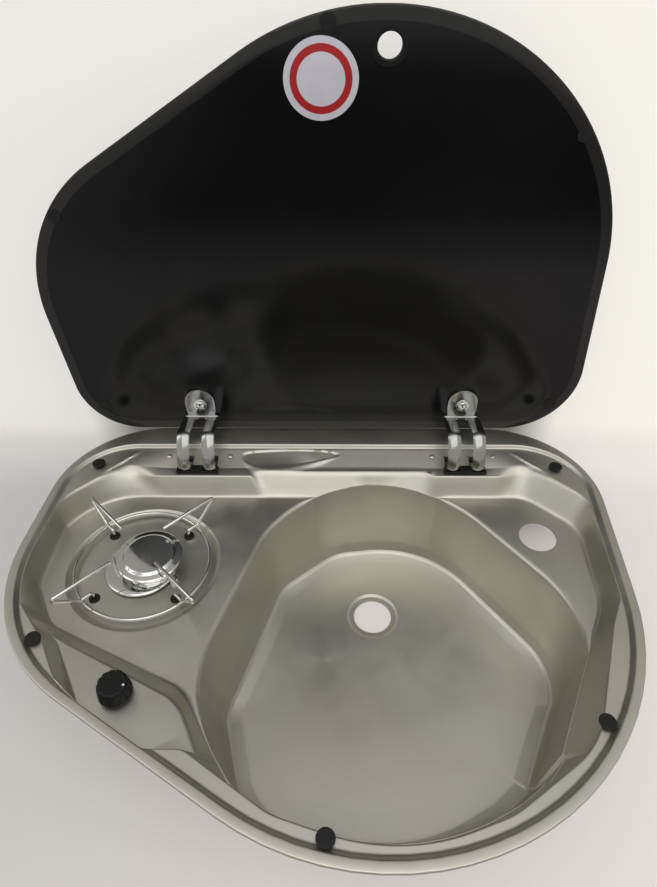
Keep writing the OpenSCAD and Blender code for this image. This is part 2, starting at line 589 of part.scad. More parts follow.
module burner_base() color(chrome) difference() {
    union() {
        at(base) rotate_extrude()
            polygon([[0, dish_z], [base_r - 6, dish_z], [base_r - 5, head_z - 1.5], [base_r - 1, head_z - 3],
                     [base_r, head_z - 2.5], [base_r - 1, head_z - 1], [base_r - 5, head_z], [0, head_z]]);
        for (a = screw_at) at(burner + screw_pitch * [cos(a), sin(a)]) tube(5, dish_z, head_z);
    }
    at(burner) tube(cup_r + hole_clear, dish_z - 1, head_z + 1);
    at(probe) tube(probe_r + hole_clear, dish_z - 1, head_z + 1);
    for (a = screw_at) at(burner + screw_pitch * [cos(a), sin(a)]) tube(1.5, head_z - 4, head_z + 1);
}
screw_pitch = 28.5;
screw_at = [-112, -33, 120];
module burner_screws() color("dimgray") for (a = screw_at) at(burner + screw_pitch * [cos(a), sin(a)]) {
    tube(1.4, head_z - 3.8, head_z + 0.2);
    tube(2.4, head_z, head_z + 1.6);
}
module burner_head() color(chrome) at(burner) difference() {
    rotate_extrude()
        polygon([[neck_r - 8, head_z], [neck_r, head_z], [neck_r + 0.5, cap_z - 8], [neck_r - 2, cap_z - 6],
                 [neck_r - 2, cap_z], [neck_r - 8, cap_z]]);
    for (i = [0 : 17]) rotate([0, 0, 20 * i]) translate([0, 0, cap_z - 3]) along_x(1, neck_r - 9, neck_r);
}
module burner_cap() color(chrome) at(burner) rotate_extrude()
    polygon([[0, cap_z + 0.02], [neck_r + 3, cap_z + 0.02], [cap_r - 1, cap_z + 0.3], [cap_r, cap_z + 1.2],
             [cap_r - 1.5, cap_z + 2.6], [cap_r - 7, cap_z + cap_h - 1.4], [cap_r - 9, cap_z + cap_h - 0.2],
             [cap_r - 10, cap_z + cap_h], [0, cap_z + cap_h]]);
module burner_cup() color("darkgray") at(burner) difference() {
    tube(cup_r, cup_z, head_z - 0.02);
    tube(cup_r - 2, cup_z + 2, head_z + 1);
    translate([0, 0, jet_z]) along_y(6, -cup_r - 1, 0);
}
module burner_jet() color("goldenrod") translate([burner[0], burner[1], jet_z]) difference() {
    along_y(6 - hole_clear, -34, -cup_r + 6);
    along_y(0.8, -60, 0);
    along_y(pipe_r + hole_clear, -40, -28);
}
module thermocouple() color("dimgray") at(probe) {
    tube(probe_r, dish_z - 8, probe_top - 1);
    translate([0, 0, probe_top - 1]) cylinder(r1 = probe_r, r2 = probe_r - 1, h = 1);
    translate([0, 0, dish_z - sheet - 3]) cylinder(r = 4, h = 2.9, $fn = 6);
}
lead_r = 1;
lead_x = knob_x - tap_w / 2 + 3;
lead_z = tap_top - 8;
lead = [[probe[0], probe[1], dish_z - 8.05], [probe[0], probe[1], dish_z - 13],
        [probe[0] + 3, probe[1] - 12, dish_z - 16], [lead_x, knob_y + 50, dish_z - 12],
        [lead_x, outlet_y + 16, dish_z - 8],
        [lead_x, outlet_y + 8, lead_z], [lead_x, outlet_y - 4, lead_z]];
module thermocouple_lead() color("peru") {
    bent(lead, lead_r, 3);
}

// Pan support: a ring, and on it four legs that rise from the grommets to their tips and reach back in
module pan_support_ring() color(chrome) translate([hob_x, hob_y, ring_z]) rotate_extrude()
    translate([ring_r, 0]) circle(wire_d / 2, $fn = 24);
module pan_support_legs() color(chrome) for (a = [45 : 90 : 315]) at([hob_x, hob_y]) rotate([0, 0, a]) {
    low = ring_z + wire_d + 0.02;
    line = [[grommet_reach * sqrt(2), 0, dish_z - 4], [grommet_reach * sqrt(2), 0, low], [ring_r + 1, 0, low],
            [arm_reach * sqrt(2), 0, tip_z], [inner_reach * sqrt(2), 0, tip_z]];
    for (i = [0 : 3]) rod(line[i], line[i + 1], wire_d / 2);
    for (i = [1 : 4]) bead(line[i], wire_d / 2);
}
module grommets() color(black) quarters(grommet_reach) rotate_extrude($fn = 48)
    polygon([[wire_d / 2 + gap, dish_z - 2.5], [4.8, dish_z - 2.5], [5.2, dish_z - sheet],
             [3.9, dish_z - sheet], [3.9, dish_z], [5.6, dish_z], [5.2, dish_z + 1.4],
             [wire_d / 2 + gap, dish_z + 1.4]]);

flutes = 12;
module knob() color(black) at([knob_x, knob_y]) difference() {
    rotate_extrude()
        polygon([[0, knob_top], [knob_r - 3, knob_top], [knob_r - 2, knob_top - 0.6],
                 [knob_r - 1, knob_top - 5], [knob_r, knob_bottom + 1.5], [knob_r, knob_bottom],
                 [knob_r - 4, knob_bottom],
                 [knob_r - 5, knob_top - 5], [spindle_r + 3, knob_top - 5], [spindle_r + 3, boss_bottom],
                 [0, boss_bottom]]);
    for (i = [0 : flutes - 1]) rotate([0, 0, 360 * i / flutes]) translate([knob_r + 0.8, 0, 0])
        tube(2.4, knob_bottom + 3, knob_top + 1);
    tube(spindle_r, knob_bottom - 5, spindle_top);
}
module tap_spindle() color("goldenrod") at([knob_x, knob_y]) tube(spindle_r, spindle_bottom, spindle_top);
return_d = 0.8;
return_turns = 3;
return_r = 5;
boss_bottom = knob_top - 9;
return_pitch = (boss_bottom - neck_top - return_d - 2 * gap) / return_turns;
module knob_spring() color("silver") translate([knob_x, knob_y, neck_top + gap + return_d / 2])
    coil(return_r, return_pitch, return_turns, return_d);
module gas_tap() color("darkgray") at([knob_x, knob_y]) difference() {
    union() {
        box([-tap_w / 2, -tap_w / 2, tap_bottom], [tap_w / 2, tap_w / 2, tap_top - 0.05]);
        tube(tap_neck_r, tap_top - 1, neck_top);
    }
    tube(plug_r + run, tap_bottom + 6, tap_top - 6);
    tube(spindle_r + run, tap_top - 7, neck_top + 1);
    translate([burner[0] - knob_x, 0, outlet_z]) along_y(pipe_r + hole_clear, tap_w / 2 - 5.3, tap_w);
    translate([lead_x - knob_x, 0, lead_z]) along_y(lead_r + hole_clear, tap_w / 2 - 4.3, tap_w);
    at(inlet - [knob_x, knob_y]) tube(inlet_r - 0.6 + hole_clear, tap_bottom - 1, tap_bottom + 3.1);
}
module tap_plug() color("gray") at([knob_x, knob_y]) difference() {
    tube(plug_r, tap_bottom + 6 + gap, tap_top - 6 - gap);
    tube(spindle_r + run, spindle_bottom - knob_press - 1, tap_top);
}
module tap_clamp_nut() color(steel) at([knob_x, knob_y]) difference() {
    translate([0, 0, panel_z + 0.05]) cylinder(r = 9.5, h = 2.5, $fn = 6);
    tube(tap_neck_r, panel_z - 1, panel_z + 5);
}
outlet_z = jet_z + 14;
pipe_line = [[burner[0], knob_y + plug_r + 2 * gap, outlet_z], [burner[0], outlet_y + 22, outlet_z],
             [burner[0], jet_y - 22, jet_z], [burner[0], jet_y + 5, jet_z]];
module burner_pipe() color("peru") {
    bent(pipe_line, pipe_r, 9);
}
module inlet_pipe() color("peru") at(inlet) {
    tube(inlet_r, inlet_end, tap_bottom - 9.2);
    tube(inlet_r - 0.6, tap_bottom - 10, tap_bottom + 3);
}
module hex_y(p, r, l, bore) translate(p) rotate([-90, 0, 0]) difference() {
    cylinder(r = r, h = l, $fn = 6);
    translate([0, 0, -1]) cylinder(r = bore, h = l + 2);
}
module pipe_nuts() color("goldenrod") {
    hex_y([burner[0], outlet_y + 0.1, outlet_z], 6.5, 8, pipe_r + hole_clear);
    hex_y([burner[0], jet_y - 8.1, jet_z], 6.5, 8, pipe_r + hole_clear);
    at(inlet) difference() {
        translate([0, 0, tap_bottom - 9.1]) cylinder(r = 7.5, h = 9, $fn = 6);
        tube(inlet_r - 0.6 + hole_clear, tap_bottom - 12, tap_bottom + 1);
    }
}

echo(least_hinge_spring_gap = coil_gap(spring_r, spring_pitch, spring_turns, spring_d));
echo(least_knob_spring_gap = coil_gap(return_r, return_pitch, return_turns, return_d));

tray();
rim_seal();
fixing_lugs();
fixing_screws();
bumpers();
lid_glass();
lid_pads();
lid_grip_ring();
lid_sticker();
left_hinge_arm();
right_hinge_arm();
lid_gaskets();
lid_screws();
lid_nuts();
hinge_brackets();
hinge_pins();
hinge_springs();
bracket_rivets();
slot_trims();
burner_base();
burner_screws();
burner_head();
burner_cap();
burner_cup();
burner_jet();
thermocouple();
thermocouple_lead();
pan_support_ring();
pan_support_legs();
grommets();
knob();
tap_spindle();
knob_spring();
gas_tap();
tap_plug();
tap_clamp_nut();
burner_pipe();
inlet_pipe();
pipe_nuts();
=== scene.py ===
# Built-in hob and sink with a folding glass lid, raised. Metres, same frame as the model.
import json
import math
import bpy
import numpy as np
from mathutils import Matrix, Vector


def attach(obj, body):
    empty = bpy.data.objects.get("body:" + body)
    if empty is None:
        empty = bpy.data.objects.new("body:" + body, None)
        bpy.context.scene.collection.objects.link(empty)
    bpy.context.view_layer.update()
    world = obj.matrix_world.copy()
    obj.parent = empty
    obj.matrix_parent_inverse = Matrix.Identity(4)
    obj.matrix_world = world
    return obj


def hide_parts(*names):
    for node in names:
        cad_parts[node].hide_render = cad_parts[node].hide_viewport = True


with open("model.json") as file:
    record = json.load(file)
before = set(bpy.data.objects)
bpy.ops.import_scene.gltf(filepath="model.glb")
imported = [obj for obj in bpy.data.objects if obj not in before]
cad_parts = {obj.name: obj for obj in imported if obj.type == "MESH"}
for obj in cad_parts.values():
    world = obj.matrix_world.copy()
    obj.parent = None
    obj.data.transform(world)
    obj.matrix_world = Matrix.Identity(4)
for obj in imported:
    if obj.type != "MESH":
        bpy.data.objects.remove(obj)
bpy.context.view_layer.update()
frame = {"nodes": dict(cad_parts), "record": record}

nodes = frame["nodes"]
mm = 0.001
print("stage: frame loaded")

# The camera stands where the photograph was taken
cameraSizes = {"place": (0.00698, -0.35892, 0.49609), "yaw": 0.011, "pitch": 48.683, "roll": 0.141,
               "lens": 25.91, "sensor": 36}


def makeCamera():
    sizes = cameraSizes
    data = bpy.data.cameras.new("photoCamera")
    camera = bpy.data.objects.new("photoCamera", data)
    bpy.context.scene.collection.objects.link(camera)
    data.lens = sizes["lens"]
    data.sensor_width = sizes["sensor"]
    pose = Matrix.Translation(sizes["place"])
    for name, axis in (("yaw", "Z"), ("pitch", "X"), ("roll", "Z")):
        pose = pose @ Matrix.Rotation(math.radians(sizes[name]), 4, axis)
    camera.matrix_world = pose
    bpy.context.scene.camera = camera


def metres(*values):
    return Vector([v * mm for v in values])


# Selecting and editing, used by every piece
def deselectAll():
    for o in list(bpy.context.selected_objects):
        o.select_set(False)


def makeActive(piece):
    deselectAll()
    piece.select_set(True)
    bpy.context.view_layer.objects.active = piece


def settle(piece):
    makeActive(piece)
    bpy.ops.object.transform_apply(location=True, rotation=True, scale=True)
    return piece


def smooth(piece, angle):
    makeActive(piece)
    bpy.ops.object.shade_smooth_by_angle(angle=math.radians(angle))
    return piece


def applyAll(piece):
    makeActive(piece)
    for m in list(piece.modifiers):
        bpy.ops.object.modifier_apply(modifier=m.name)


def meshPiece(name, points, faces):
    mesh = bpy.data.meshes.new(name)
    mesh.from_pydata([tuple(p) for p in points], [], faces)
    mesh.update()
    piece = bpy.data.objects.new(name, mesh)
    bpy.context.scene.collection.objects.link(piece)
    return piece


def joinPieces(name, pieces):
    makeActive(pieces[0])
    for p in pieces:
        p.select_set(True)
    if len(pieces) > 1:
        bpy.ops.object.join()
    pieces[0].name = name
    pieces[0].data.name = name
    return pieces[0]


# Points at one place welded, thin faces left out where a least size is given, and all faces turned outwards
def weld(piece, gap, sliver=0):
    makeActive(piece)
    bpy.ops.object.mode_set(mode="EDIT")
    bpy.ops.mesh.select_all(action="SELECT")
    bpy.ops.mesh.remove_doubles(threshold=gap * mm)
    if sliver:
        bpy.ops.mesh.dissolve_degenerate(threshold=sliver * mm)
        bpy.ops.mesh.select_all(action="SELECT")
    bpy.ops.mesh.normals_make_consistent(inside=False)
    bpy.ops.object.mode_set(mode="OBJECT")


def soften(piece, width, segments, angle):
    bevel = piece.modifiers.new("softEdge", "BEVEL")
    bevel.width = width * mm
    bevel.segments = segments
    bevel.limit_method = "ANGLE"
    bevel.angle_limit = math.radians(angle)
    applyAll(piece)


# A profile of (radius, height) points spun about an upright axis through the centre, or laid along X
def turnedPiece(name, profile, centre, steps, lying=False):
    deselectAll()
    bpy.ops.mesh.primitive_plane_add(size=mm, location=(0, 0, 0))
    piece = bpy.context.object
    piece.name = name
    bpy.ops.object.mode_set(mode="EDIT")
    bpy.ops.mesh.select_all(action="SELECT")
    bpy.ops.mesh.merge(type="CENTER")
    bpy.ops.transform.translate(value=(profile[0][0] * mm, 0, profile[0][1] * mm))
    for a, b in zip(profile, profile[1:]):
        step = ((b[0] - a[0]) * mm, 0, (b[1] - a[1]) * mm)
        bpy.ops.mesh.extrude_region_move(TRANSFORM_OT_translate={"value": step})
    bpy.ops.mesh.select_all(action="SELECT")
    bpy.ops.mesh.spin(steps=steps, angle=math.tau, center=(0, 0, 0), axis=(0, 0, 1))
    bpy.ops.mesh.select_all(action="SELECT")
    bpy.ops.mesh.remove_doubles(threshold=1e-6)
    bpy.ops.mesh.normals_make_consistent(inside=False)
    bpy.ops.object.mode_set(mode="OBJECT")
    if lying:
        piece.rotation_euler = (0, math.radians(90), 0)
    piece.location = Vector(centre) * mm
    return settle(piece)


# Corners of a profile rounded, each given as (radius, height, rounding). The first and last stay sharp
def softProfile(corners, steps=5):
    out = []
    for i, (x, z, r) in enumerate(corners):
        if r == 0 or i in (0, len(corners) - 1):
            out.append((x, z))
            continue
        here, before, after = (np.array(corners[j][:2], float) for j in (i, i - 1, i + 1))
        a = before - here
        b = after - here
        la, lb = np.linalg.norm(a), np.linalg.norm(b)
        t = min(r, la * 0.48, lb * 0.48)
        p, q = here + a / la * t, here + b / lb * t
        for k in range(steps + 1):
            u = k / steps
            out.append(tuple(p * (1 - u) ** 2 + here * 2 * u * (1 - u) + q * u * u))
    return out


# One turned shape at several places, joined
def turnedSet(name, part, corners, places, steps, height=0):
    profile = softProfile(corners)
    return joinPieces(name, [turnedPiece(part, profile, (*place, height), steps) for place in places])


# Faces between closed rings of n points, with the two ends closed
def ringFaces(rings, n):
    faces = [tuple(range(n))[::-1], tuple(range((rings - 1) * n, rings * n))]
    for k in range(rings - 1):
        for i in range(n):
            j = (i + 1) % n
            faces.append((k * n + i, k * n + j, (k + 1) * n + j, (k + 1) * n + i))
    return faces


# A copy of a CAD node with its flat faces cleaned and its edges softened
def softCopy(node, width):
    piece = bpy.data.objects.new(node + "Soft", nodes[node].data.copy())
    bpy.context.scene.collection.objects.link(piece)
    makeActive(piece)
    bpy.ops.object.mode_set(mode="EDIT")
    bpy.ops.mesh.select_all(action="SELECT")
    bpy.ops.mesh.remove_doubles(threshold=2e-5)
    bpy.ops.mesh.dissolve_limited(angle_limit=math.radians(2))
    bpy.ops.object.mode_set(mode="OBJECT")
    if width > 0:
        soften(piece, width, 2, 32)
    return smooth(piece, 40)


def finish(piece, body, material, *replaced):
    piece.data.materials.clear()
    piece.data.materials.append(material)
    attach(piece, body)
    if replaced:
        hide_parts(*replaced)
    return piece


# Finishes, each a small set of nodes on Object coordinates
def newMaterial(name):
    material = bpy.data.materials.new(name)
    material.use_nodes = True
    tree = material.node_tree
    tree.nodes.clear()
    out = tree.nodes.new("ShaderNodeOutputMaterial")
    shader = tree.nodes.new("ShaderNodeBsdfPrincipled")
    tree.links.new(shader.outputs["BSDF"], out.inputs["Surface"])
    return material, tree, shader


# A Math node on one or two sockets
def mathNode(tree, operation, *sources):
    node = tree.nodes.new("ShaderNodeMath")
    node.operation = operation
    for i, source in enumerate(sources):
        tree.links.new(source, node.inputs[i])
    return node.outputs["Value"]


def placeParts(tree):
    place = tree.nodes.new("ShaderNodeTexCoord")
    parts = tree.nodes.new("ShaderNodeSeparateXYZ")
    tree.links.new(place.outputs["Object"], parts.inputs["Vector"])
    return parts.outputs


def noiseNode(tree, scale, detail=3, stretch=(1, 1, 1)):
    place = tree.nodes.new("ShaderNodeTexCoord")
    mapping = tree.nodes.new("ShaderNodeMapping")
    mapping.inputs["Scale"].default_value = stretch
    noise = tree.nodes.new("ShaderNodeTexNoise")
    noise.inputs["Scale"].default_value = scale
    noise.inputs["Detail"].default_value = detail
    tree.links.new(place.outputs["Object"], mapping.inputs["Vector"])
    tree.links.new(mapping.outputs["Vector"], noise.inputs["Vector"])
    return noise.outputs["Fac"]


def rangeNode(tree, source, low, high, fromLow=0.3, fromHigh=0.7):
    spread = tree.nodes.new("ShaderNodeMapRange")
    spread.inputs["From Min"].default_value = fromLow
    spread.inputs["From Max"].default_value = fromHigh
    spread.inputs["To Min"].default_value = low
    spread.inputs["To Max"].default_value = high
    tree.links.new(source, spread.inputs["Value"])
    return spread.outputs["Result"]


# Two colours mixed, each three numbers or a socket
def mixNode(tree, factor, first, second):
    mix = tree.nodes.new("ShaderNodeMix")
    mix.data_type = "RGBA"
    tree.links.new(factor, mix.inputs["Factor"])
    for side, colour in (("A", first), ("B", second)):
        if isinstance(colour, tuple):
            mix.inputs[side].default_value = (*colour, 1)
        else:
            tree.links.new(colour, mix.inputs[side])
    return mix.outputs["Result"]


def bumpNode(tree, height, depth):
    bump = tree.nodes.new("ShaderNodeBump")
    bump.inputs["Strength"].default_value = 1
    bump.inputs["Distance"].default_value = depth * mm
    tree.links.new(height, bump.inputs["Height"])
    return bump.outputs["Normal"]


# tints: two colours and their scale; rough: lowest and highest; grain: scale and depth in mm
plainFinishes = {
    "satinSteel": {"tints": ((0.61, 0.585, 0.525), (0.56, 0.555, 0.49), 7), "rough": (0.36, 0.46),
                   "metal": 1, "grain": (900, 0.006), "stretch": (0.25, 1, 1),
                   "sockets": {"Anisotropic": 0.25}},
    "mirrorChrome": {"tints": ((0.80, 0.80, 0.79), (0.72, 0.72, 0.71), 30), "rough": (0.05, 0.12),
                     "metal": 1, "grain": (500, 0.004)},
    # painted shade: the hinge arms' chrome is a darker copy of the bright chrome above
    "shadedHingeChrome": {"tints": ((0.46, 0.46, 0.45), (0.36, 0.36, 0.35), 40), "rough": (0.10, 0.22),
                    "metal": 1, "grain": (500, 0.006)},
    "wireChrome": {"tints": ((0.78, 0.77, 0.75), (0.66, 0.65, 0.63), 60), "rough": (0.10, 0.20),
                   "metal": 1, "grain": (700, 0.008)},
    "zincPlate": {"tints": ((0.55, 0.56, 0.57), (0.45, 0.45, 0.44), 40), "rough": (0.35, 0.55),
                  "metal": 1, "grain": (400, 0.02)},
    "springSteel": {"tints": ((0.42, 0.42, 0.43), (0.33, 0.33, 0.34), 60), "rough": (0.28, 0.42),
                    "metal": 1, "grain": (600, 0.01)},
    "castAluminium": {"tints": ((0.56, 0.56, 0.55), (0.47, 0.47, 0.46), 50), "rough": (0.45, 0.65),
                      "metal": 1, "grain": (300, 0.05)},
    "turnedBrass": {"tints": ((0.72, 0.52, 0.24), (0.60, 0.42, 0.18), 50), "rough": (0.22, 0.38),
                    "metal": 1, "grain": (500, 0.01)},
    "pipeCopper": {"tints": ((0.72, 0.40, 0.27), (0.52, 0.28, 0.19), 25), "rough": (0.28, 0.46),
                   "metal": 1, "grain": (400, 0.02)},
    "mattRubber": {"tints": ((0.008, 0.008, 0.008), (0.014, 0.013, 0.013), 80), "rough": (0.52, 0.72),
                   "metal": 0, "grain": (700, 0.03), "sockets": {"Specular IOR Level": 0.3}},
    "blackPlastic": {"tints": ((0.006, 0.006, 0.006), (0.010, 0.010, 0.010), 60), "rough": (0.34, 0.50),
                     "metal": 0, "grain": (900, 0.015), "sockets": {"Specular IOR Level": 0.25}},
    "whiteMark": {"tints": ((0.70, 0.70, 0.68), (0.62, 0.62, 0.60), 200), "rough": (0.4, 0.5),
                  "metal": 0, "grain": (900, 0.01)},
}


def plainFinish(name):
    f = plainFinishes[name]
    material, tree, shader = newMaterial(name)
    light, dark, scale = f["tints"]
    shade = rangeNode(tree, noiseNode(tree, scale), 0, 1)
    tree.links.new(mixNode(tree, shade, light, dark), shader.inputs["Base Color"])
    wear = noiseNode(tree, scale * 4, 4)
    tree.links.new(rangeNode(tree, wear, *f["rough"]), shader.inputs["Roughness"])
    grain, depth = f["grain"]
    fine = noiseNode(tree, grain, 2, f.get("stretch", (1, 1, 1)))
    tree.links.new(bumpNode(tree, fine, depth), shader.inputs["Normal"])
    shader.inputs["Metallic"].default_value = f["metal"]
    for socket, value in f.get("sockets", {}).items():
        shader.inputs[socket].default_value = value
    return material


# Dark glass with a slightly greyer printed border
glassLook = {"plain": ((0.004, 0.004, 0.005), (0.006, 0.006, 0.006)),
             "border": ((0.020, 0.020, 0.020), (0.026, 0.025, 0.024)), "rough": (0.10, 0.17), "shine": 0.35}


def smokedGlass():
    g = glassLook
    material, tree, shader = newMaterial("smokedGlass")
    mark = tree.nodes.new("ShaderNodeAttribute")
    mark.attribute_name = "band"
    shade = rangeNode(tree, noiseNode(tree, 5), 0, 1)
    plain, border = mixNode(tree, shade, *g["plain"]), mixNode(tree, shade, *g["border"])
    edge = rangeNode(tree, mark.outputs["Fac"], 0, 1, 0.2, 0.8)
    tree.links.new(mixNode(tree, edge, plain, border), shader.inputs["Base Color"])
    tree.links.new(rangeNode(tree, noiseNode(tree, 12, 4), *g["rough"]), shader.inputs["Roughness"])
    tree.links.new(bumpNode(tree, noiseNode(tree, 30, 2), 0.02), shader.inputs["Normal"])
    shader.inputs["Specular IOR Level"].default_value = g["shine"]
    return material


# White film with one plain red ring, its radii in metres, round the middle of the raised sticker
filmLook = {"paper": ((0.66, 0.63, 0.72), (0.70, 0.68, 0.75)),
            "red": ((0.42, 0.008, 0.012), (0.46, 0.014, 0.016)),
            "middle": (0, 0, 0.375), "outer": (0.0256, 0.0260), "inner": (0.0197, 0.0201)}


def stickerFilm():
    s = filmLook
    material, tree, shader = newMaterial("stickerFilm")
    parts = placeParts(tree)
    flat = tree.nodes.new("ShaderNodeCombineXYZ")
    for axis in "XZ":
        tree.links.new(parts[axis], flat.inputs[axis])
    away = tree.nodes.new("ShaderNodeVectorMath")
    away.operation = "DISTANCE"
    away.inputs[1].default_value = s["middle"]
    tree.links.new(flat.outputs["Vector"], away.inputs[0])
    ring = mathNode(tree, "MULTIPLY", rangeNode(tree, away.outputs["Value"], 1, 0, *s["outer"]),
                    rangeNode(tree, away.outputs["Value"], 0, 1, *s["inner"]))
    shade = rangeNode(tree, noiseNode(tree, 60), 0, 1)
    paper, red = mixNode(tree, shade, *s["paper"]), mixNode(tree, shade, *s["red"])
    tree.links.new(mixNode(tree, ring, paper, red), shader.inputs["Base Color"])
    shader.inputs["Roughness"].default_value = 0.4
    return material


print("stage: finishes ready")

# The pressed tray, in millimetres. Corners of an outline are (x, y, radius). The box limits its x and y
trayForm = {
    "width": 600, "depth": 460, "sheet": 0.8, "rimHeight": 3, "rimWidth": 8, "backRim": 30, "backRadius": 110,
    "rimCorner": 72, "leftRadius": 175, "frontRadius": 240, "stepWidth": 4, "ledge": -1,
    "deck": -30, "panel": -18, "floor": -125, "eye": (70, -20), "rays": 900, "shelfY": 171, "bevelY": 158,
    "wallY": 147, "bevelDrop": 7, "shelfFall": 0.27, "shelfBack": 196, "shelfRun": 25,
    "hob": (-183, 52), "dish": (-181.5, 50), "dishRadius": 79, "dishFloor": -34,
    "waste": (57, 54), "wasteRadius": 21, "wasteSeat": 29, "wasteDrop": 2, "tap": (231, 89),
    "tapRadius": 19.5, "box": ((-298.25, 299.9), (-229.7, 230)),
}


def unitOf(v):
    return np.asarray(v, float) / np.linalg.norm(v)


def leftOf(v):
    return np.array([-v[1], v[0]])


def cross2(a, b):
    return a[..., 0] * b[..., 1] - a[..., 1] * b[..., 0]


def meetingPoint(p, u, q, v):
    return p + u * cross2(q - p, v) / cross2(u, v)


# Corners moved inwards, by its own distance for the side that follows each corner
def insetCorners(corners, gaps):
    out = []
    n = len(corners)
    for i in range(n):
        a, b, e = (np.array(corners[j % n][:2], float) for j in (i - 1, i, i + 1))
        u, v = unitOf(b - a), unitOf(e - b)
        before, after = gaps[i - 1], gaps[i]
        p = meetingPoint(a + leftOf(u) * before, u, b + leftOf(v) * after, v)
        out.append((p[0], p[1], max(corners[i][2] - min(before, after), 1)))
    return out


# A closed outline with an arc at each corner
def roundedOutline(corners, steps=24):
    out = []
    n = len(corners)
    for i in range(n):
        a, b, e = (np.array(corners[j % n][:2], float) for j in (i - 1, i, i + 1))
        u, v = unitOf(a - b), unitOf(e - b)
        half = math.acos(u @ v) / 2
        r = corners[i][2]
        k = b + u * r / math.tan(half)
        mid = b + unitOf(u + v) * r / math.sin(half)
        side = np.sign(cross2(-u, v))
        first = math.atan2(k[1] - mid[1], k[0] - mid[0])
        for j in range(steps + 1):
            t = first + side * (math.pi - 2 * half) * j / steps
            out.append(mid + r * np.array([math.cos(t), math.sin(t)]))
    return np.array(out)


# Distance from the eye to an outline along each direction
def reachOf(outline, directions):
    p = outline - np.array(trayForm["eye"], float)
    q = np.roll(p, -1, axis=0)
    out = np.zeros(len(directions))
    for i, u in enumerate(directions):
        s = cross2(u, p)
        t = cross2(u, q)
        hit = (s * t <= 0) & (s != t)
        along = (p[hit] + (q[hit] - p[hit]) * (s[hit] / (s[hit] - t[hit]))[:, None]) @ u
        out[i] = along.max() if len(along) else 0
    return out


def ease(x, low, high):
    t = np.clip((x - low) / (high - low), 0, 1)
    return t * t * (3 - 2 * t)


# Rises from 0 to 1 between the first two values and falls again between the last two
def within(x, rise, risen, fall, fallen):
    return ease(x, rise, risen) * (1 - ease(x, fall, fallen))


def trayCorners():
    f = trayForm
    right, back = f["width"] / 2, f["depth"] / 2
    return [(right + 9, back, f["backRadius"]), (16 - right, back, f["backRadius"]),
            (-right - 7, -53, f["leftRadius"]), (right - 39, -back - 168, f["frontRadius"])]


# A gap below 0 moves the ledge inwards, because it is listed clockwise, and the bowl's foot outwards
def trayOutlines():
    f = trayForm
    step = f["rimWidth"] + f["stepWidth"]
    edge = trayCorners()

    def cornered(corners, r):
        return [(x, y, r if i < 2 else c) for i, (x, y, c) in enumerate(corners)]
    ledge = [(233, f["shelfY"], 20), (298, 106, 12), (290, 14, 20), (262, -37, 60), (217, -143, 88),
             (141, -192, 82), (58, -220, 177), (-35, -192, 60), (-104, -147, 16), (-186, -147, 1),
             (-243, -54, 30), (-292, 3, 8), (-290, 106, 12), (-226, f["shelfY"], 20)]
    ledgeGaps = [-8] * 8 + [-4, -9, -9] + [-8] * 3
    bowlFoot = [(237, -10, 71), (123, 150, 115), (17, 135, 50), (-44, 85, 37), (-91, -65, 40),
                (-64, -161, 59), (77, -197, 179), (214, -125, 144)]
    outlines = {
        "edge": edge,
        "rimIn": cornered(insetCorners(edge, [f["backRim"]] + [f["rimWidth"]] * 3), f["rimCorner"]),
        "stepFoot": cornered(insetCorners(edge, [f["backRim"] + 2] + [step] * 3), f["rimCorner"] - 4),
        "ledgeIn": ledge,
        "ledgeFoot": insetCorners(ledge, ledgeGaps),
        "bevel": [(240, f["bevelY"], 30), (286, 96, 30), (300, -150, 20), (80, -230, 20), (-300, -80, 20),
                  (-284, 82, 40), (-233, f["bevelY"], 22)],
        "panelIn": [(231, 152, 34), (281, 101, 45), (274, 0, 68), (192, -153, 120), (89, -258, 204),
                    (-70, -165, 30), (-96, -145, 20), (-118, -101, 45), (-260, -32, 20), (-282, 10, 40),
                    (-282, 86, 40), (-243, 152, 25)],
        "deckOut": [(229, f["wallY"], 34), (278, 101, 47), (271, 1, 68), (190, -150, 120), (89, -255, 204),
                    (-68, -167, 50), (-90, -133, 19), (-118, -85, 40), (-256, -20, 30), (-284, 28, 45),
                    (-284, f["wallY"], 80)],
        "bowlEdge": [(247, 8, 117), (126, 172, 145), (-11, 162, 142), (-62, 91, 107), (-119, -89, 130),
                     (-62, -171, 81), (60, -222, 205), (241, -132, 165)],
        "bowlFoot": insetCorners(bowlFoot, [-5] * 8),
    }
    return {name: roundedOutline(corners) for name, corners in outlines.items()}


# Rays from the eye, evenly spaced along the tray's edge
def trayRays(edge):
    closed = np.vstack([edge, edge[:1]])
    run = np.r_[0, np.cumsum(np.linalg.norm(np.diff(closed, axis=0), axis=1))]
    at = np.arange(trayForm["rays"]) / trayForm["rays"] * run[-1]
    spots = np.c_[np.interp(at, run, closed[:, 0]), np.interp(at, run, closed[:, 1])] - trayForm["eye"]
    angles = np.sort(np.arctan2(spots[:, 1], spots[:, 0]) % math.tau)
    return angles, np.c_[np.cos(angles), np.sin(angles)]


# Stretches of the rim, in degrees round the eye or in x along the shelf
stretches = {"panel": (181.5, 183.5, 227, 230), "back": (30, 45, 150, 165), "middle": (-90, -60, 90, 120),
             "leaves": ((-240, -205, -94, -74), (108, 136, 207, 240)),
             "tips": ((21, 26, 42, 47), (146, 150, 165, 169)), "cut": (55, 130)}


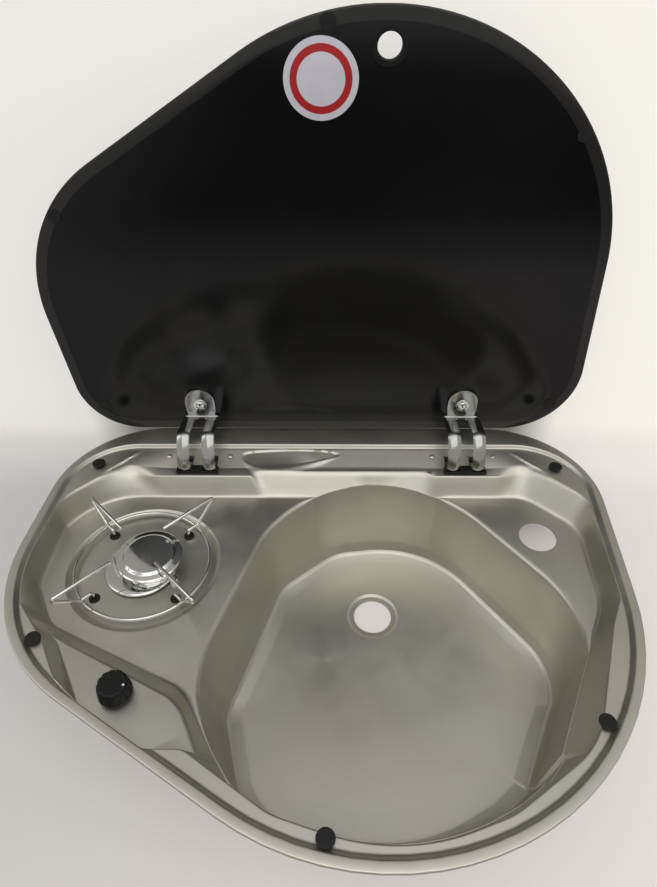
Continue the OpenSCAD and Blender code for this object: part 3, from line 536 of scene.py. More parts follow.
# Control points of every ray's section: (radius, height, rounding, points in the bend, points after it).
# Distances from the eye: s foot of the rim's step, l end of the ledge, v foot of its bevel, k foot of the
# wall, p between v and k, b top and w foot of the bowl's wall. Heights of the same points start with z
def traySection():
    f = trayForm
    outlines = trayOutlines()
    angles, ways = trayRays(outlines["edge"])
    deg = np.degrees(angles)
    d = {name: reachOf(outline, ways) for name, outline in outlines.items()}
    edge, rim, foot = d["edge"], d["rimIn"], d["ledgeFoot"]
    s = np.minimum(d["stepFoot"], rim - 0.8)
    panel = within(deg, *stretches["panel"])
    inPanel = panel > 0
    l = np.minimum(d["ledgeIn"], s - 0.6)
    bury = np.clip((d["ledgeIn"] - s) / np.maximum(d["ledgeIn"] - foot, 1), 0, 1)
    zs = f["ledge"] + np.where(inPanel, bury, 0) * (f["panel"] - f["ledge"])
    k = np.minimum(np.minimum(d["deckOut"], s - 6), l - 4)
    x = f["eye"][0] + l * ways[:, 0]
    atBack = within(deg, *stretches["back"])
    left, right = stretches["leaves"]
    leaf = atBack * (within(x, *left) + within(x, *right))
    middle = atBack * within(x, *stretches["middle"])
    # the ledge runs round softly at the two tips, where its corners meet the leaves
    kernel = np.hanning(35) / np.hanning(35).sum()
    soft = np.minimum(np.convolve(np.r_[l[-17:], l, l[:17]], kernel, "valid"), l)
    l = l + (soft - l) * sum(within(deg, *tip) for tip in stretches["tips"])
    v = np.minimum(soft - (soft - k) / 3, l - 1.5)
    bevel = np.clip(d["bevel"], k + 2, l - 1.5)
    v = v + (bevel - v) * leaf
    onWall = f["ledge"] + (f["deck"] - f["ledge"]) * (l - v) / (l - k)
    zv = onWall + (f["ledge"] - f["bevelDrop"] - onWall) * leaf
    p = (v + k) / 2
    zp = (zv + f["deck"]) / 2
    vPanel = np.clip(foot, k + 2, l - 0.4)
    pPanel = np.clip(d["panelIn"], k + 1, vPanel - 0.4)
    zl = np.where(inPanel, zs, f["ledge"])
    v = v + (vPanel - v) * panel
    zv = zv + (f["panel"] - zv) * panel
    p = p + (pPanel - p) * panel
    zp = zp + (f["panel"] - zp) * panel
    # behind the bowl its edge cuts into the wall
    atCut = (deg > stretches["cut"][0]) & (deg < stretches["cut"][1])
    cut = np.where(atCut, np.clip((d["bowlEdge"] - k) / 34, 0, 0.6), 0)
    kCut = k + cut * (v - k)
    zk = f["deck"] + cut * (zv - f["deck"])
    p = np.maximum(p, kCut + 0.3)
    b = np.minimum(d["bowlEdge"], kCut - 0.8)
    w = np.minimum(d["bowlFoot"], b - 7)
    one = np.ones(len(deg))
    crisp = 1.3 * one
    bendL = crisp + middle * 9 + atBack * (1 - leaf) * (1 - middle) * 3
    controls = [
        (edge, 0 * one, 0 * one, 1, 0),
        (edge, f["rimHeight"] * one, 2.2 * one, 5, 0),
        (rim, f["rimHeight"] * one, crisp, 4, 0),
        (s, zs, crisp, 4, 14),
        (l, zl, bendL, 5, 0),
        (v, zv, 1.5 + 6 * (1 - leaf) * (1 - panel), 4, 0),
        (p, zp, 3 * one, 4, 0),
        (kCut, zk, 4 + 6 * cut, 5, 4),
        (b, zk, 5 + 7 * cut, 6, 2),
        (w, f["floor"] * one, 20 * one, 9, 5),
        (0 * one, f["floor"] * one, 0 * one, 1, 0),
    ]
    return ways, controls


# Every section as points, each control point bent to its rounding. The ledge has its extra points in two
# groups, before and after the fold. Also gives the numbers of the points that the underside repeats
def bentSection(controls, fold):
    points = np.stack([np.c_[c[0], c[1]] for c in controls], axis=1)
    parts = []
    for i, (_, _, bend, count, _) in enumerate(controls):
        here = points[:, i]
        if i in (0, len(controls) - 1):
            parts.append(here[:, None])
        else:
            a, b = points[:, i - 1] - here, points[:, i + 1] - here
            la, lb = np.linalg.norm(a, axis=1), np.linalg.norm(b, axis=1)
            t = np.minimum(np.minimum(bend, la * 0.45), lb * 0.45)[:, None]
            start, end = here + a / la[:, None] * t, here + b / lb[:, None] * t
            u = np.linspace(0, 1, count)[None, :, None]
            parts.append(start[:, None] * (1 - u) ** 2 + here[:, None] * 2 * u * (1 - u)
                         + end[:, None] * u ** 2)
    out = []
    under = []
    total = 0
    for i, part in enumerate(parts):
        out.append(part)
        n = part.shape[1]
        if 0 < i < len(parts) - 1:
            under += sorted({total, total + n // 2, total + n - 1})
        elif i == 0:
            under.append(total)
        total += n
        after = controls[i][4]
        if after:
            first, last = part[:, -1], parts[i + 1][:, 0]
            if i == 3:
                half = after // 2
                gap = np.clip(0.6 / np.maximum(np.linalg.norm(first - last, axis=1), 1.3), 0, 0.1)
                t0 = np.clip(fold, 0.12, 0.88)
                steps = np.concatenate([np.linspace(0, 1, half + 1)[None, 1:] * (t0 - gap)[:, None],
                                        (t0 + gap)[:, None] + np.linspace(0, 1, half + 1)[None, :-1]
                                        * (1 - t0 - gap)[:, None]], axis=1)
            else:
                steps = np.tile(np.arange(1, after + 1) / (after + 1), (len(first), 1))
            out.append(first[:, None] + (last - first)[:, None] * steps[:, :, None])
            total += after
    return np.concatenate(out, axis=1), under


# The recess in the shelf between the hinges: a low lip, then a floor that sinks towards the back, and a riser
recess = {"left": -95, "length": 118, "front": 188, "bow": 20, "back": 188.5, "backBow": 6, "deep": 4.2,
          "lip": 1.2}


def recessDepth(x, y):
    r = recess
    u = np.clip((x - r["left"]) / r["length"], 0, 1)
    front = r["front"] - r["bow"] * np.sin(np.pi * u ** 0.6)
    behind = r["back"] + r["backBow"] * np.sqrt(np.maximum(np.sin(np.pi * u), 0))
    share = (y - front) / np.maximum(behind - front, 0.5)
    slope = within(share, 0.05, 0.8, 0.86, 1.04)
    lip = within(share, -0.4, 0, 0, 0.4)
    return (r["deep"] * slope - r["lip"] * lip) * within(u, 0.0, 0.14, 0.80, 1.0)


# The two back corners stand a little above the shelf, beyond these chords
cornerChords = [((-281, 121), (-217, 187)), ((221, 189), (288, 122))]


def chordLine(a, b):
    a, b = np.array(a, float), np.array(b, float)
    return a, leftOf(unitOf(b - a))


def chordSide(x, y):
    best = np.full(np.shape(x), -99.0)
    for a, n in (chordLine(*chord) for chord in cornerChords):
        best = np.maximum(best, (x - a[0]) * n[0] + (y - a[1]) * n[1])
    return best


# The shelf behind the hob and bowl falls towards the front, between the two flat corners
def shelfDrop(x, y, z):
    f = trayForm
    fall = f["shelfFall"] * np.clip(f["shelfBack"] - y, 0, f["shelfRun"])
    side = chordSide(x, y)
    inside = (1 - ease(side + 1.0, -0.6, 0.6)) * (1 - 0.7 * ease(side, -45, -3))
    return fall * inside * ease(y, 148, 168) * np.clip((z + 8) / 7, 0, 1) * (z < 0.5)


# Hole cutters stand through the sheet, each from a cylinder or a box
def roundCutter(x, y, z, r, steps=128):
    deselectAll()
    bpy.ops.mesh.primitive_cylinder_add(vertices=steps, radius=r * mm, depth=0.016,
                                        location=metres(x, y, z))
    return settle(bpy.context.object)


def boxCutter(low, high):
    middle = [(a + b) / 2 * mm for a, b in zip(low, high)]
    deselectAll()
    bpy.ops.mesh.primitive_cube_add(size=1, location=middle)
    piece = bpy.context.object
    piece.scale = [(b - a) * mm for a, b in zip(low, high)]
    return settle(piece)


def cutHoles(piece, cutters):
    cutter = joinPieces("cutter", cutters)
    cut = piece.modifiers.new("holes", "BOOLEAN")
    cut.object = cutter
    cut.operation = "DIFFERENCE"
    cut.solver = "EXACT"
    applyAll(piece)
    bpy.data.objects.remove(cutter)


# Hinges: the axis is (y, z), the slots in the tray take the trims in front and the arms behind
hingeForm = {"places": (-142, 162), "axis": (216, -9), "trim": 47, "trimY": (161, 171), "arm": 13, "gap": 15,
             "notch": 15, "notchY": (170, 187.5), "slotZ": (-20, 6), "bracketTop": -4.5}


def slotCutters():
    h = hingeForm
    (low, high), trim, notch = h["slotZ"], h["trim"] / 2, h["notch"] / 2
    fronts = [((x - trim, h["trimY"][0], low), (x + trim, h["trimY"][1], high)) for x in h["places"]]
    arms = [x + side * (h["gap"] + h["arm"]) / 2 for x in h["places"] for side in (-1, 1)]
    notches = [((x - notch, h["notchY"][0], low), (x + notch, h["notchY"][1], high)) for x in arms]
    return fronts, notches


# Where the ledge folds from the flat corner to the falling shelf, as a share of its width
def ledgeFold(ways, s, l):
    fold = np.full(len(ways), 0.5)
    for a, n in (chordLine(*chord) for chord in cornerChords):
        toLine = ((a - n * 1.0 - trayForm["eye"]) @ n) / (ways @ n)
        share = (s - toLine) / np.maximum(s - l, 0.1)
        near = (ways @ n > 0.3) & (toLine > 0)
        fold = np.where(near & (share < 1.4) & (share > -0.6), share, fold)
    return fold


def makeTray(material):
    f = trayForm
    ways, controls = traySection()
    section, under = bentSection(controls, ledgeFold(ways, controls[3][0], controls[4][0]))
    rays, count = section.shape[:2]
    x, y = (np.clip(f["eye"][i] + section[:, :, 0] * ways[:, None, i], *f["box"][i]) for i in (0, 1))
    z = section[:, :, 1].copy()
    # the recess and the fall of the shelf move only the points near the ledge's height
    high = np.clip((z + 9) / 7, 0, 1) * (z < 1.5)
    z = z - recessDepth(x, y) * ease(y, 158, 168) * high - shelfDrop(x, y, z)
    # the underside follows the top, one sheet thickness away
    flat = np.stack([section[:, :, 0], z], axis=2)
    along = np.gradient(flat, axis=1)
    along = along / np.maximum(np.linalg.norm(along, axis=2, keepdims=True), 1e-6)
    inward = np.stack([along[:, :, 1], -along[:, :, 0]], axis=2)
    inward = np.where(inward[:, :, 1:] > 0, -inward, inward)
    low = flat + inward * f["sheet"]
    low[:, 0] = flat[:, 0] + [-f["sheet"], 0]
    low[:, 1] = flat[:, 1] + [-f["sheet"], -0.2]
    low[:, 0, 1] = 0
    topPoints = np.stack([x, y, z], axis=2)[:, :-1]
    under = [i for i in under if i < count - 1]
    lowPoints = np.stack([f["eye"][0] + low[:, under, 0] * ways[:, None, 0],
                          f["eye"][1] + low[:, under, 0] * ways[:, None, 1], low[:, under, 1]], axis=2)
    # each ray has a loop of points, in along the top and out along the underside
    m = count - 1
    size = m + len(under)
    loop = np.concatenate([topPoints, lowPoints[:, ::-1]], axis=1)
    points = np.concatenate([loop.reshape(-1, 3),
                             [[*f["eye"], f["floor"]], [*f["eye"], f["floor"] - f["sheet"]]]]) * mm
    faces = []
    top = rays * size
    for i in range(rays):
        a, b = i * size, (i + 1) % rays * size
        for j in range(size):
            e = (j + 1) % size
            if j == m - 1:
                faces.append((a + j, b + j, top))
                faces.append((b + e, a + e, top + 1))
            else:
                faces.append((a + j, b + j, b + e, a + e))
    tray = meshPiece("pressedTray", points, faces)
    print("stage: tray pressed,", len(faces), "faces")
    cutters = [roundCutter(*f["dish"], f["deck"], f["dishRadius"], 256),
               roundCutter(*f["waste"], f["floor"], f["wasteSeat"] + 1.5, 160),
               roundCutter(*f["tap"], f["deck"], f["tapRadius"]),
               roundCutter(*knobForm["place"], f["panel"], knobForm["hole"], 48)]
    cutHoles(tray, cutters)
    for boxes in slotCutters():
        cutHoles(tray, [boxCutter(*box) for box in boxes])
    print("stage: tray holes cut")
    tray = joinPieces("pressedTray", [tray, makeDish(), makeWasteSeat()])
    return finish(smooth(tray, 38), "tray_body", material, "tray")


# A sheet profile: the top points, then the same points one thickness lower, back to the start
def sheetProfile(corners):
    top = softProfile(corners, 6)
    pts = np.array(top)
    along = np.gradient(pts, axis=0)
    along /= np.linalg.norm(along, axis=1)[:, None]
    down = np.c_[along[:, 1], -along[:, 0]]
    down = np.where(down[:, 1:] > 0, -down, down)
    return top + [tuple(p) for p in (pts + down * trayForm["sheet"])[::-1]] + [top[0]]


def makeDish():
    f = trayForm
    profile = sheetProfile([(3.0, f["dishFloor"], 0), (72.5, f["dishFloor"], 4), (77.5, f["deck"], 4),
                            (f["dishRadius"] + 0.02, f["deck"], 0)])
    dish = turnedPiece("dish", profile, (*f["dish"], 0), 192)
    cutters = [roundCutter(*burnerForm["axis"], f["dishFloor"], burnerForm["hole"], 96),
               roundCutter(*burnerForm["probe"], f["dishFloor"], 3, 24)]
    cutters += [roundCutter(*place, f["dishFloor"], 4, 32) for place in legPlaces()]
    cutHoles(dish, cutters)
    return dish


def makeWasteSeat():
    f = trayForm
    low = f["floor"] - f["wasteDrop"]
    profile = sheetProfile([(f["wasteRadius"], low, 0), (f["wasteSeat"] - 2.5, low, 2.5),
                            (f["wasteSeat"] - 0.5, f["floor"], 2.5), (f["wasteSeat"] + 1.52, f["floor"], 0)])
    return turnedPiece("wasteSeat", profile, (*f["waste"], 0), 128)


# Places of the rubber stops, from the distance inside the tray's edge and the direction from the eye
stopForm = {"places": ((-34.2, 17), (43.8, 24), (149.7, 24), (186.1, 17), (251.1, 17)), "radius": 7,
            "top": 2.7}


def stopPlaces():
    edge = trayCorners()
    out = []
    for deg, inside in stopForm["places"]:
        way = np.array([[math.cos(math.radians(deg)), math.sin(math.radians(deg))]])
        line = roundedOutline(insetCorners(edge, [inside] * 4), 12)
        out.append(np.array(trayForm["eye"]) + reachOf(line, way)[0] * way[0])
    return out


def makeStops(material):
    r, top = stopForm["radius"], stopForm["top"]
    corners = [(0, -6.8, 0), (1.3, -6.8, 0.3), (2.6, -1.85, 0.2), (2.0, -1.8, 0), (2.0, -1.0, 0),
               (3.6, -1.0, 0.2), (r, top - 1.2, 0.8), (r, top - 0.5, 0.4), (r - 0.7, top, 0.5), (0, top, 0)]
    stops = turnedSet("rubberStops", "stop", corners, stopPlaces(), 48)
    return finish(smooth(stops, 50), "tray_body", material, "bumpers")


# Lid pieces are drawn as if closed, then swung up about the hinge axis
def raisedLid(piece):
    hinge = metres(0, *hingeForm["axis"])
    swing = Matrix.Rotation(math.radians(-90), 4, "X")
    piece.matrix_world = Matrix.Translation(hinge) @ swing @ Matrix.Translation(-hinge) @ piece.matrix_world
    return settle(piece)


# The glass stays behind the front limit, as the solid does
lidForm = {"under": 4, "top": 9, "inset": 10, "back": 27, "rightRadius": 78, "leftRadius": 66, "band": 10,
           "grip": (55, -192), "gripRadius": 10, "screws": ((-142, 166), (162, 166)),
           "sticker": (0, -168), "stickerRadius": 31, "front": -219.7}


def lidOutline(inside):
    f = lidForm
    corners = insetCorners(trayCorners(), [f["back"] + inside] + [f["inset"] + inside] * 3)
    radii = (f["rightRadius"] - inside, f["leftRadius"] - inside)
    line = roundedOutline([(x, y, radii[i] if i < 2 else r) for i, (x, y, r) in enumerate(corners)], 48)
    line[:, 1] = np.maximum(line[:, 1], f["front"])
    return line


# Rings of one outline at several insets and heights, closed at both ends
def makeLidGlass(material):
    f = lidForm
    low, high = f["under"], f["top"]
    rings = [(f["band"] + 1.5, low), (f["band"], low), (1.5, low), (0.9, low + 0.08), (0.35, low + 0.45),
             (0.06, low + 1.1), (0, low + 1.8), (0, high - 1.8), (0.06, high - 1.1), (0.35, high - 0.45),
             (0.9, high - 0.08), (1.5, high), (f["band"], high), (f["band"] + 1.5, high)]
    loops = [np.c_[lidOutline(d), np.full((4 * 49, 1), z)] for d, z in rings]
    n = len(loops[0])
    lid = meshPiece("glassLid", np.concatenate(loops) * mm, ringFaces(len(rings), n))
    band = lid.data.attributes.new("band", "FLOAT", "POINT")
    for k in range(len(rings)):
        for i in range(n):
            band.data[k * n + i].value = 0 if k in (0, len(rings) - 1) else 1
    holes = [roundCutter(*f["grip"], (low + high) / 2, f["gripRadius"] + 1.5, 96)]
    holes += [roundCutter(*p, (low + high) / 2, 3.2, 32) for p in f["screws"]]
    cutHoles(lid, holes)
    return finish(smooth(raisedLid(lid), 30), "lid", material, "lid_glass")


def makeLidPads(material):
    corners = [(0, 4, 0), (6.5, 4, 0.15), (6.5, 3, 0.4), (0, 2.995, 0)]
    pads = turnedSet("lidPads", "pad", corners, stopPlaces(), 48)
    return finish(smooth(raisedLid(pads), 50), "lid", material, "lid_pads")


def makeGripRing(material):
    r = lidForm["gripRadius"]
    profile = softProfile([(r, 6.5, 0), (r, 3, 0.6), (r + 4.7, 3, 0.6), (r + 5, 4, 0.2), (r + 1.5, 4, 0),
                           (r + 1.5, 9, 0), (r + 5, 9, 0.2), (r + 4.7, 10, 0.6), (r, 10, 0.6), (r, 6.5, 0)])
    ring = turnedPiece("gripRing", profile, (*lidForm["grip"], 0), 96)
    return finish(smooth(raisedLid(ring), 50), "lid", material, "lid_grip_ring")


def makeSticker(material):
    r = lidForm["stickerRadius"]
    profile = softProfile([(0, 4, 0), (r, 4, 0), (r, 3.8, 0.08), (0, 3.8, 0)], 3)
    sticker = turnedPiece("roundSticker", profile, (*lidForm["sticker"], 0), 128)
    return finish(smooth(raisedLid(sticker), 40), "lid", material, "lid_sticker")


# Points with each inner one bent to a radius
def bentPath(points, bend, steps):
    points = [np.array(p, float) for p in points]
    out = [points[0]]
    for a, b, c in zip(points, points[1:], points[2:]):
        u, v = unitOf(a - b), unitOf(c - b)
        half = math.acos(np.clip(u @ v, -1, 1)) / 2
        t = min(bend / math.tan(half), np.linalg.norm(a - b) * 0.48, np.linalg.norm(c - b) * 0.48)
        r = t * math.tan(half)
        mid = b + unitOf(u + v) * r / math.sin(half)
        first, last = b + u * t - mid, b + v * t - mid
        whole = math.acos(np.clip(unitOf(first) @ unitOf(last), -1, 1))
        for k in range(steps + 1):
            w = k / steps
            out.append(mid + (first * math.sin((1 - w) * whole) + last * math.sin(w * whole))
                       / math.sin(whole))
    return out + [points[-1]]


# A tube of round section along points, with domed ends
def tubePiece(name, path, r, sides=20):
    path = [np.array(p, float) for p in path]
    way = [unitOf(path[min(i + 1, len(path) - 1)] - path[max(i - 1, 0)]) for i in range(len(path))]
    across = unitOf(np.cross(way[0], (0.31, 0.57, 0.76)))      # any direction that no leg runs along
    rings = []
    for p, w in zip(path, way):
        across = unitOf(across - w * (across @ w))
        rings.append((p, across, np.cross(w, across), r))
    for end, side in ((0, -1), (-1, 1)):
        p, u, v, _ = rings[end]
        w = way[end] * side
        caps = [(p + w * r * math.sin(t) * 0.6, u, v, r * math.cos(t)) for t in (0.5, 1.0, 1.35)]
        rings = caps[::-1] + rings if end == 0 else rings + caps
    turn = np.linspace(0, math.tau, sides, endpoint=False)
    points = [p + q * (u * math.cos(t) + v * math.sin(t)) for p, u, v, q in rings for t in turn]
    return smooth(meshPiece(name, np.array(points) * mm, ringFaces(len(rings), sides)), 50)


# Hinge arms: two crowned straps about the axis that join in a yoke with an arch, then a tab with a round top
hingeArm = {"half": 20.5, "inside": 7.5, "radius": 51, "bend": (11.15, 31.5), "tab": 17, "top": 71,
            "thick": 2.5, "arch": 4, "crown": 1.6, "under": (-15, 36.84)}


def armPath():
    h = hingeArm
    r = h["radius"]
    y, z = h["bend"]
    bow = [(0, -r * math.cos(b), r * math.sin(b)) for b in np.radians(np.linspace(12, 42, 10))]
    crest = (0, -r * math.cos(math.radians(52)), r * math.sin(math.radians(52)))
    foot = bentPath([(0, 0, 0), (0, -r, 0), bow[0]], 4, 6)
    over = bentPath([bow[-1], crest, (0, y, z)], 7, 6)[:-1]
    tab = bentPath([(0, *h["under"]), (0, y, z), (0, y, h["top"])], 2.6, 8)[1:]
    return foot + [np.array(p) for p in bow[1:-1]] + over + tab


def makeHingeArm(name, x, node, material):
    h = hingeArm
    path = np.array([(p[1], p[2]) for p in armPath()])
    run = np.r_[0, np.cumsum(np.linalg.norm(np.diff(path, axis=0), axis=1))]
    total = run[-1]
    flat = total - (h["top"] - h["bend"][1])          # the bend between yoke and tab
    archTop = flat - 1.8
    archFoot = archTop - h["arch"]
    tabFoot = flat + 2.0
    tabRound = total - h["tab"]
    spots = [0, *np.arange(4, archFoot, 2.5),
             *(archFoot + h["arch"] * np.sin(np.linspace(0, math.pi / 2, 12))),
             *np.linspace(archTop + 0.05, flat, 8), *np.linspace(flat + 0.4, tabFoot + 3, 10),
             *np.arange(tabFoot + 5, tabRound, 3),
             *(tabRound + h["tab"] * np.sin(np.linspace(0, math.pi / 2, 14)))]
    spots = np.array(sorted(set(np.round(spots, 4))))
    columns = 8
    points = []
    faces = []
    pos = np.c_[np.interp(spots, run, path[:, 0]), np.interp(spots, run, path[:, 1])]
    ways = np.gradient(pos, spots, axis=0)
    for s, (y, z), way in zip(spots, pos, ways):
        inner = 0.0
        if s <= archFoot:
            inner = h["inside"]
        elif s <= archTop + 0.01:
            inner = h["inside"] - h["arch"] + math.sqrt(max(h["arch"] ** 2 - (s - archFoot) ** 2, 0))
        outer = h["half"] + (h["tab"] - 1.5 - h["half"]) * float(ease(s, flat - 1, tabFoot + 2))
        outer += 1.5 * float(ease(s, tabFoot, tabFoot + 12))
        if s > tabRound:
            outer = math.sqrt(max(h["tab"] ** 2 - (s - tabRound) ** 2, 0))
        for side in (-1, 1):
            for k in range(columns + 1):
                bulge = h["crown"] * (1 - (2 * k / columns - 1) ** 2) * float(ease(archFoot - s, 0, 6))
                across = side * (inner + (outer - inner) * k / columns)
                points.append((across, y - way[1] * bulge, z + way[0] * bulge))
    wide = columns + 1
    for i in range(len(spots) - 1):
        for side in (0, 1):
            for k in range(columns):
                a = (i * 2 + side) * wide + k
                b = a + 2 * wide
                faces.append((a, a + 1, b + 1, b) if side else (a, b, b + 1, a + 1))
    arm = meshPiece(name, np.array(points) * mm, faces)
    weld(arm, 0.02, 0.01)
    thick = arm.modifiers.new("thick", "SOLIDIFY")
    thick.thickness = h["thick"] * mm
    thick.offset = 0
    applyAll(arm)
    soften(arm, 0.55, 3, 60)
    eye = softProfile([(3.05, -6.5, 0), (6, -6.5, 0.4), (6, 6.5, 0.4), (3.05, 6.5, 0), (3.05, -6.5, 0)])
    eyes = [turnedPiece("eye", eye, (side * 14, 0, 0), 48, lying=True) for side in (-1, 1)]
    arm = joinPieces(name, [arm] + eyes)
    arm.location = metres(x, *hingeForm["axis"])
    return finish(smooth(settle(arm), 40), "lid", material, node)


# The brackets are a copy of the solid, with their tops lowered to lie under the falling shelf
def lowerBrackets(piece):
    back, top = trayForm["shelfBack"] * mm, hingeForm["bracketTop"] * mm
    for v in piece.data.vertices:
        if v.co.z > top and v.co.y < back:
            v.co.z -= trayForm["shelfFall"] * (back - v.co.y)


def makeLidScrews(material):
    profile = softProfile([(0, -1.7, 0), (2.4, -1.65, 0.8), (4.6, -0.9, 0.8), (5, -0.25, 0.2),
                           (7.2, -0.2, 0.2), (7.5, 0.1, 0.2), (7.5, 0.9, 0), (2.9, 0.9, 0), (2.9, 12, 0.4),
                           (0, 12, 0)])
    screws = []
    for x, y in lidForm["screws"]:
        screw = turnedPiece("screw", profile, (x, y, 0), 64)
        for i, j in ((0.65, 2.9), (2.9, 0.65)):                # the two arms of the cross slot
            cutHoles(screw, [boxCutter((x - i, y - j, -3), (x + i, y + j, -0.9))])
        screws.append(screw)
    return finish(smooth(raisedLid(joinPieces("lidScrews", screws)), 40), "lid", material, "lid_screws")


rivetForm = {"places": ((-177, 187), (-107, 187), (127, 187), (197, 187)), "radius": 3.5, "sink": 2.4}


def makeRivets(material):
    f = rivetForm
    r = f["radius"]
    corners = [(0, 0.5, 0), (1.8, 0.42, 0.9), (r - 0.4, -0.4, 0.6), (r, -1.0, 0), (2.0, -1.0, 0),
               (2.0, -3.4, 0), (3.3, -3.4, 0.2), (3.3, -4.4, 0.3), (0, -4.4, 0)]
    rivets = turnedSet("bracketRivets", "rivet", corners, f["places"], 48, -f["sink"])
    return finish(smooth(rivets, 40), "tray_body", material, "bracket_rivets")


# Burner: polished base plate, neck with ports and a mirror cap
burnerForm = {"axis": (-173, 49), "hole": 21, "base": (-184.5, 49), "baseRadius": 37, "plateLow": -34,
              "neck": 25, "ports": 18, "cap": 33, "capFoot": -15, "screwPitch": 28.5,
              "screws": (-112, -33, 120), "head": -29, "probe": (-210, 47)}


def makeBurnerCap(material):
    f = burnerForm
    r, z = f["cap"], f["capFoot"]
    profile = softProfile([(0, z + 5, 0), (r - 9.2, z + 5, 0.5), (r - 8.2, z + 4.4, 0.6),
                           (r - 6.6, z + 3.2, 0.8), (r - 1.4, z + 2.2, 1.0), (r - 0.1, z + 1.5, 0.4),
                           (r, z + 1.0, 0.3), (r - 1, z + 0.3, 0.4), (f["neck"] + 3, z + 0.02, 0),
                           (0, z + 0.02, 0)])
    cap = turnedPiece("burnerCap", profile, (*f["axis"], 0), 192)
    return finish(smooth(cap, 30), "tray_body", material, "burner_cap")


def makeBurnerHead(material):
    f = burnerForm
    r, low, z = f["neck"], f["head"], f["capFoot"]
    profile = softProfile([(r - 8, low, 0), (r, low, 0.3), (r + 0.3, low + 3.6, 0.8),
                           (r - 1.6, low + 5.0, 0.8), (r - 1.2, low + 8.2, 0.6), (r + 0.5, z - 8.2, 0.5),
                           (r - 2, z - 6, 0.6), (r - 2, z, 0), (r - 8, z, 0), (r - 8, low, 0)])
    x, y = f["axis"]
    head = turnedPiece("burnerHead", profile, (x, y, 0), 144)
    ports = []
    for i in range(f["ports"]):
        t = math.radians(360 / f["ports"] * i)
        place = metres(x + (r - 3) * math.cos(t), y + (r - 3) * math.sin(t), z - 3)
        deselectAll()
        bpy.ops.mesh.primitive_cylinder_add(vertices=16, radius=0.001, depth=0.012, location=place,
                                            rotation=(0, math.radians(90), t))
        ports.append(settle(bpy.context.object))
    cutHoles(head, ports)
    return finish(smooth(head, 35), "tray_body", material, "burner_head")


# The base plate is a low dish with a turned rim
def makeBurnerBase(material):
    f = burnerForm
    r, low, z = f["baseRadius"], f["plateLow"], f["head"]
    profile = softProfile([(0, low, 0), (r - 6, low, 0.3), (r - 5, z - 1.6, 0.8), (r - 1.2, z - 3, 0.6),
                           (r, z - 2.5, 0.4), (r - 1, z - 1, 0.9), (r - 5, z, 2.5), (0, z, 0)])
    plate = turnedPiece("plate", profile, (*f["base"], 0), 192)
    cutHoles(plate, [roundCutter(*f["axis"], -31, 20.1, 96)])
    return finish(smooth(plate, 30), "tray_body", material, "burner_base")


# Three screws, each in a round ear of the base plate
def makeBurnerScrews(material, dark):
    f = burnerForm
    low, z = f["plateLow"], f["head"]
    head = [(0, z + 0.9, 0), (1.1, z + 0.9, 0), (1.2, z + 1.6, 0.2), (2.1, z + 1.5, 0.5),
            (2.4, z + 0.05, 0.1), (1.4, z + 0.02, 0), (1.4, z - 3.8, 0), (0, z - 3.8, 0)]
    ear = [(1.5, z, 0), (4.4, z, 0.5), (5, z - 0.8, 0.4), (5, low, 0), (1.5, low, 0), (1.5, z, 0)]
    x, y = f["axis"]
    places = [(x + f["screwPitch"] * math.cos(t), y + f["screwPitch"] * math.sin(t))
              for t in map(math.radians, f["screws"])]
    screws = turnedSet("burnerScrews", "screw", head, places, 32)
    finish(smooth(screws, 40), "tray_body", dark, "burner_screws")
    ears = turnedSet("screwEars", "boss", ear, places, 48)
    return finish(smooth(ears, 40), "tray_body", material)


def makeIgniter(material):
    place = (*burnerForm["probe"], 0)
    profile = softProfile([(0, -12.1, 0), (0.9, -12.1, 0.4), (1.2, -14.0, 0.5), (1.9, -15.0, 0.4),
                           (1.9, -28, 0.2), (2.0, -42, 0), (0, -42, 0)])
    pin = turnedPiece("flameProbe", profile, place, 32)
    nutProfile = softProfile([(0, -34.9, 0), (3.8, -34.9, 0.4), (4, -37.8, 0.4), (0, -37.8, 0)])
    nut = turnedPiece("probeNut", nutProfile, place, 6)
    return finish(smooth(joinPieces("flameProbe", [pin, nut]), 40), "tray_body", material, "thermocouple")


# Pan support of bright wire
wireForm = {"ring": 68, "ringHeight": -28, "radius": 1.75, "reach": 67.6, "foot": 40, "footZ": -37.5,
            "inner": 22, "tip": -0.25}


def legPlaces():
    x, y = trayForm["hob"]
    foot = wireForm["foot"]
    return [(x + i * foot, y + j * foot) for i in (-1, 1) for j in (-1, 1)]


def makePanSupport(material):
    f = wireForm
    r = f["radius"]
    x, y = trayForm["hob"]
    turn = np.linspace(0, math.tau, 24, endpoint=False)
    profile = [(f["ring"] + r * math.cos(t), f["ringHeight"] + r * math.sin(t)) for t in turn]
    ring = turnedPiece("supportRing", profile + profile[:1], (x, y, 0), 192)
    finish(smooth(ring, 50), "tray_body", material, "pan_support_ring")
    legs = []
    low = f["ringHeight"] + 2 * r + 0.02
    root = math.sqrt(2)
    line = [(f["foot"] * root, f["footZ"]), (f["foot"] * root, low), (f["ring"] + 1, low),
            (f["reach"] * root, f["tip"]), (f["inner"] * root, f["tip"])]
    for deg in (45, 135, 225, 315):
        u = np.array((math.cos(math.radians(deg)), math.sin(math.radians(deg))))
        points = [(x + u[0] * d, y + u[1] * d, z) for d, z in line]
        rise = tuple((np.array(points[2]) + points[3]) / 2)
        path = bentPath(points[:4], 3, 6)[:-1] + bentPath([rise, *points[3:]], 2.4, 8)
        legs.append(tubePiece("leg", path, r))
    return finish(joinPieces("supportLegs", legs), "tray_body", material, "pan_support_legs")


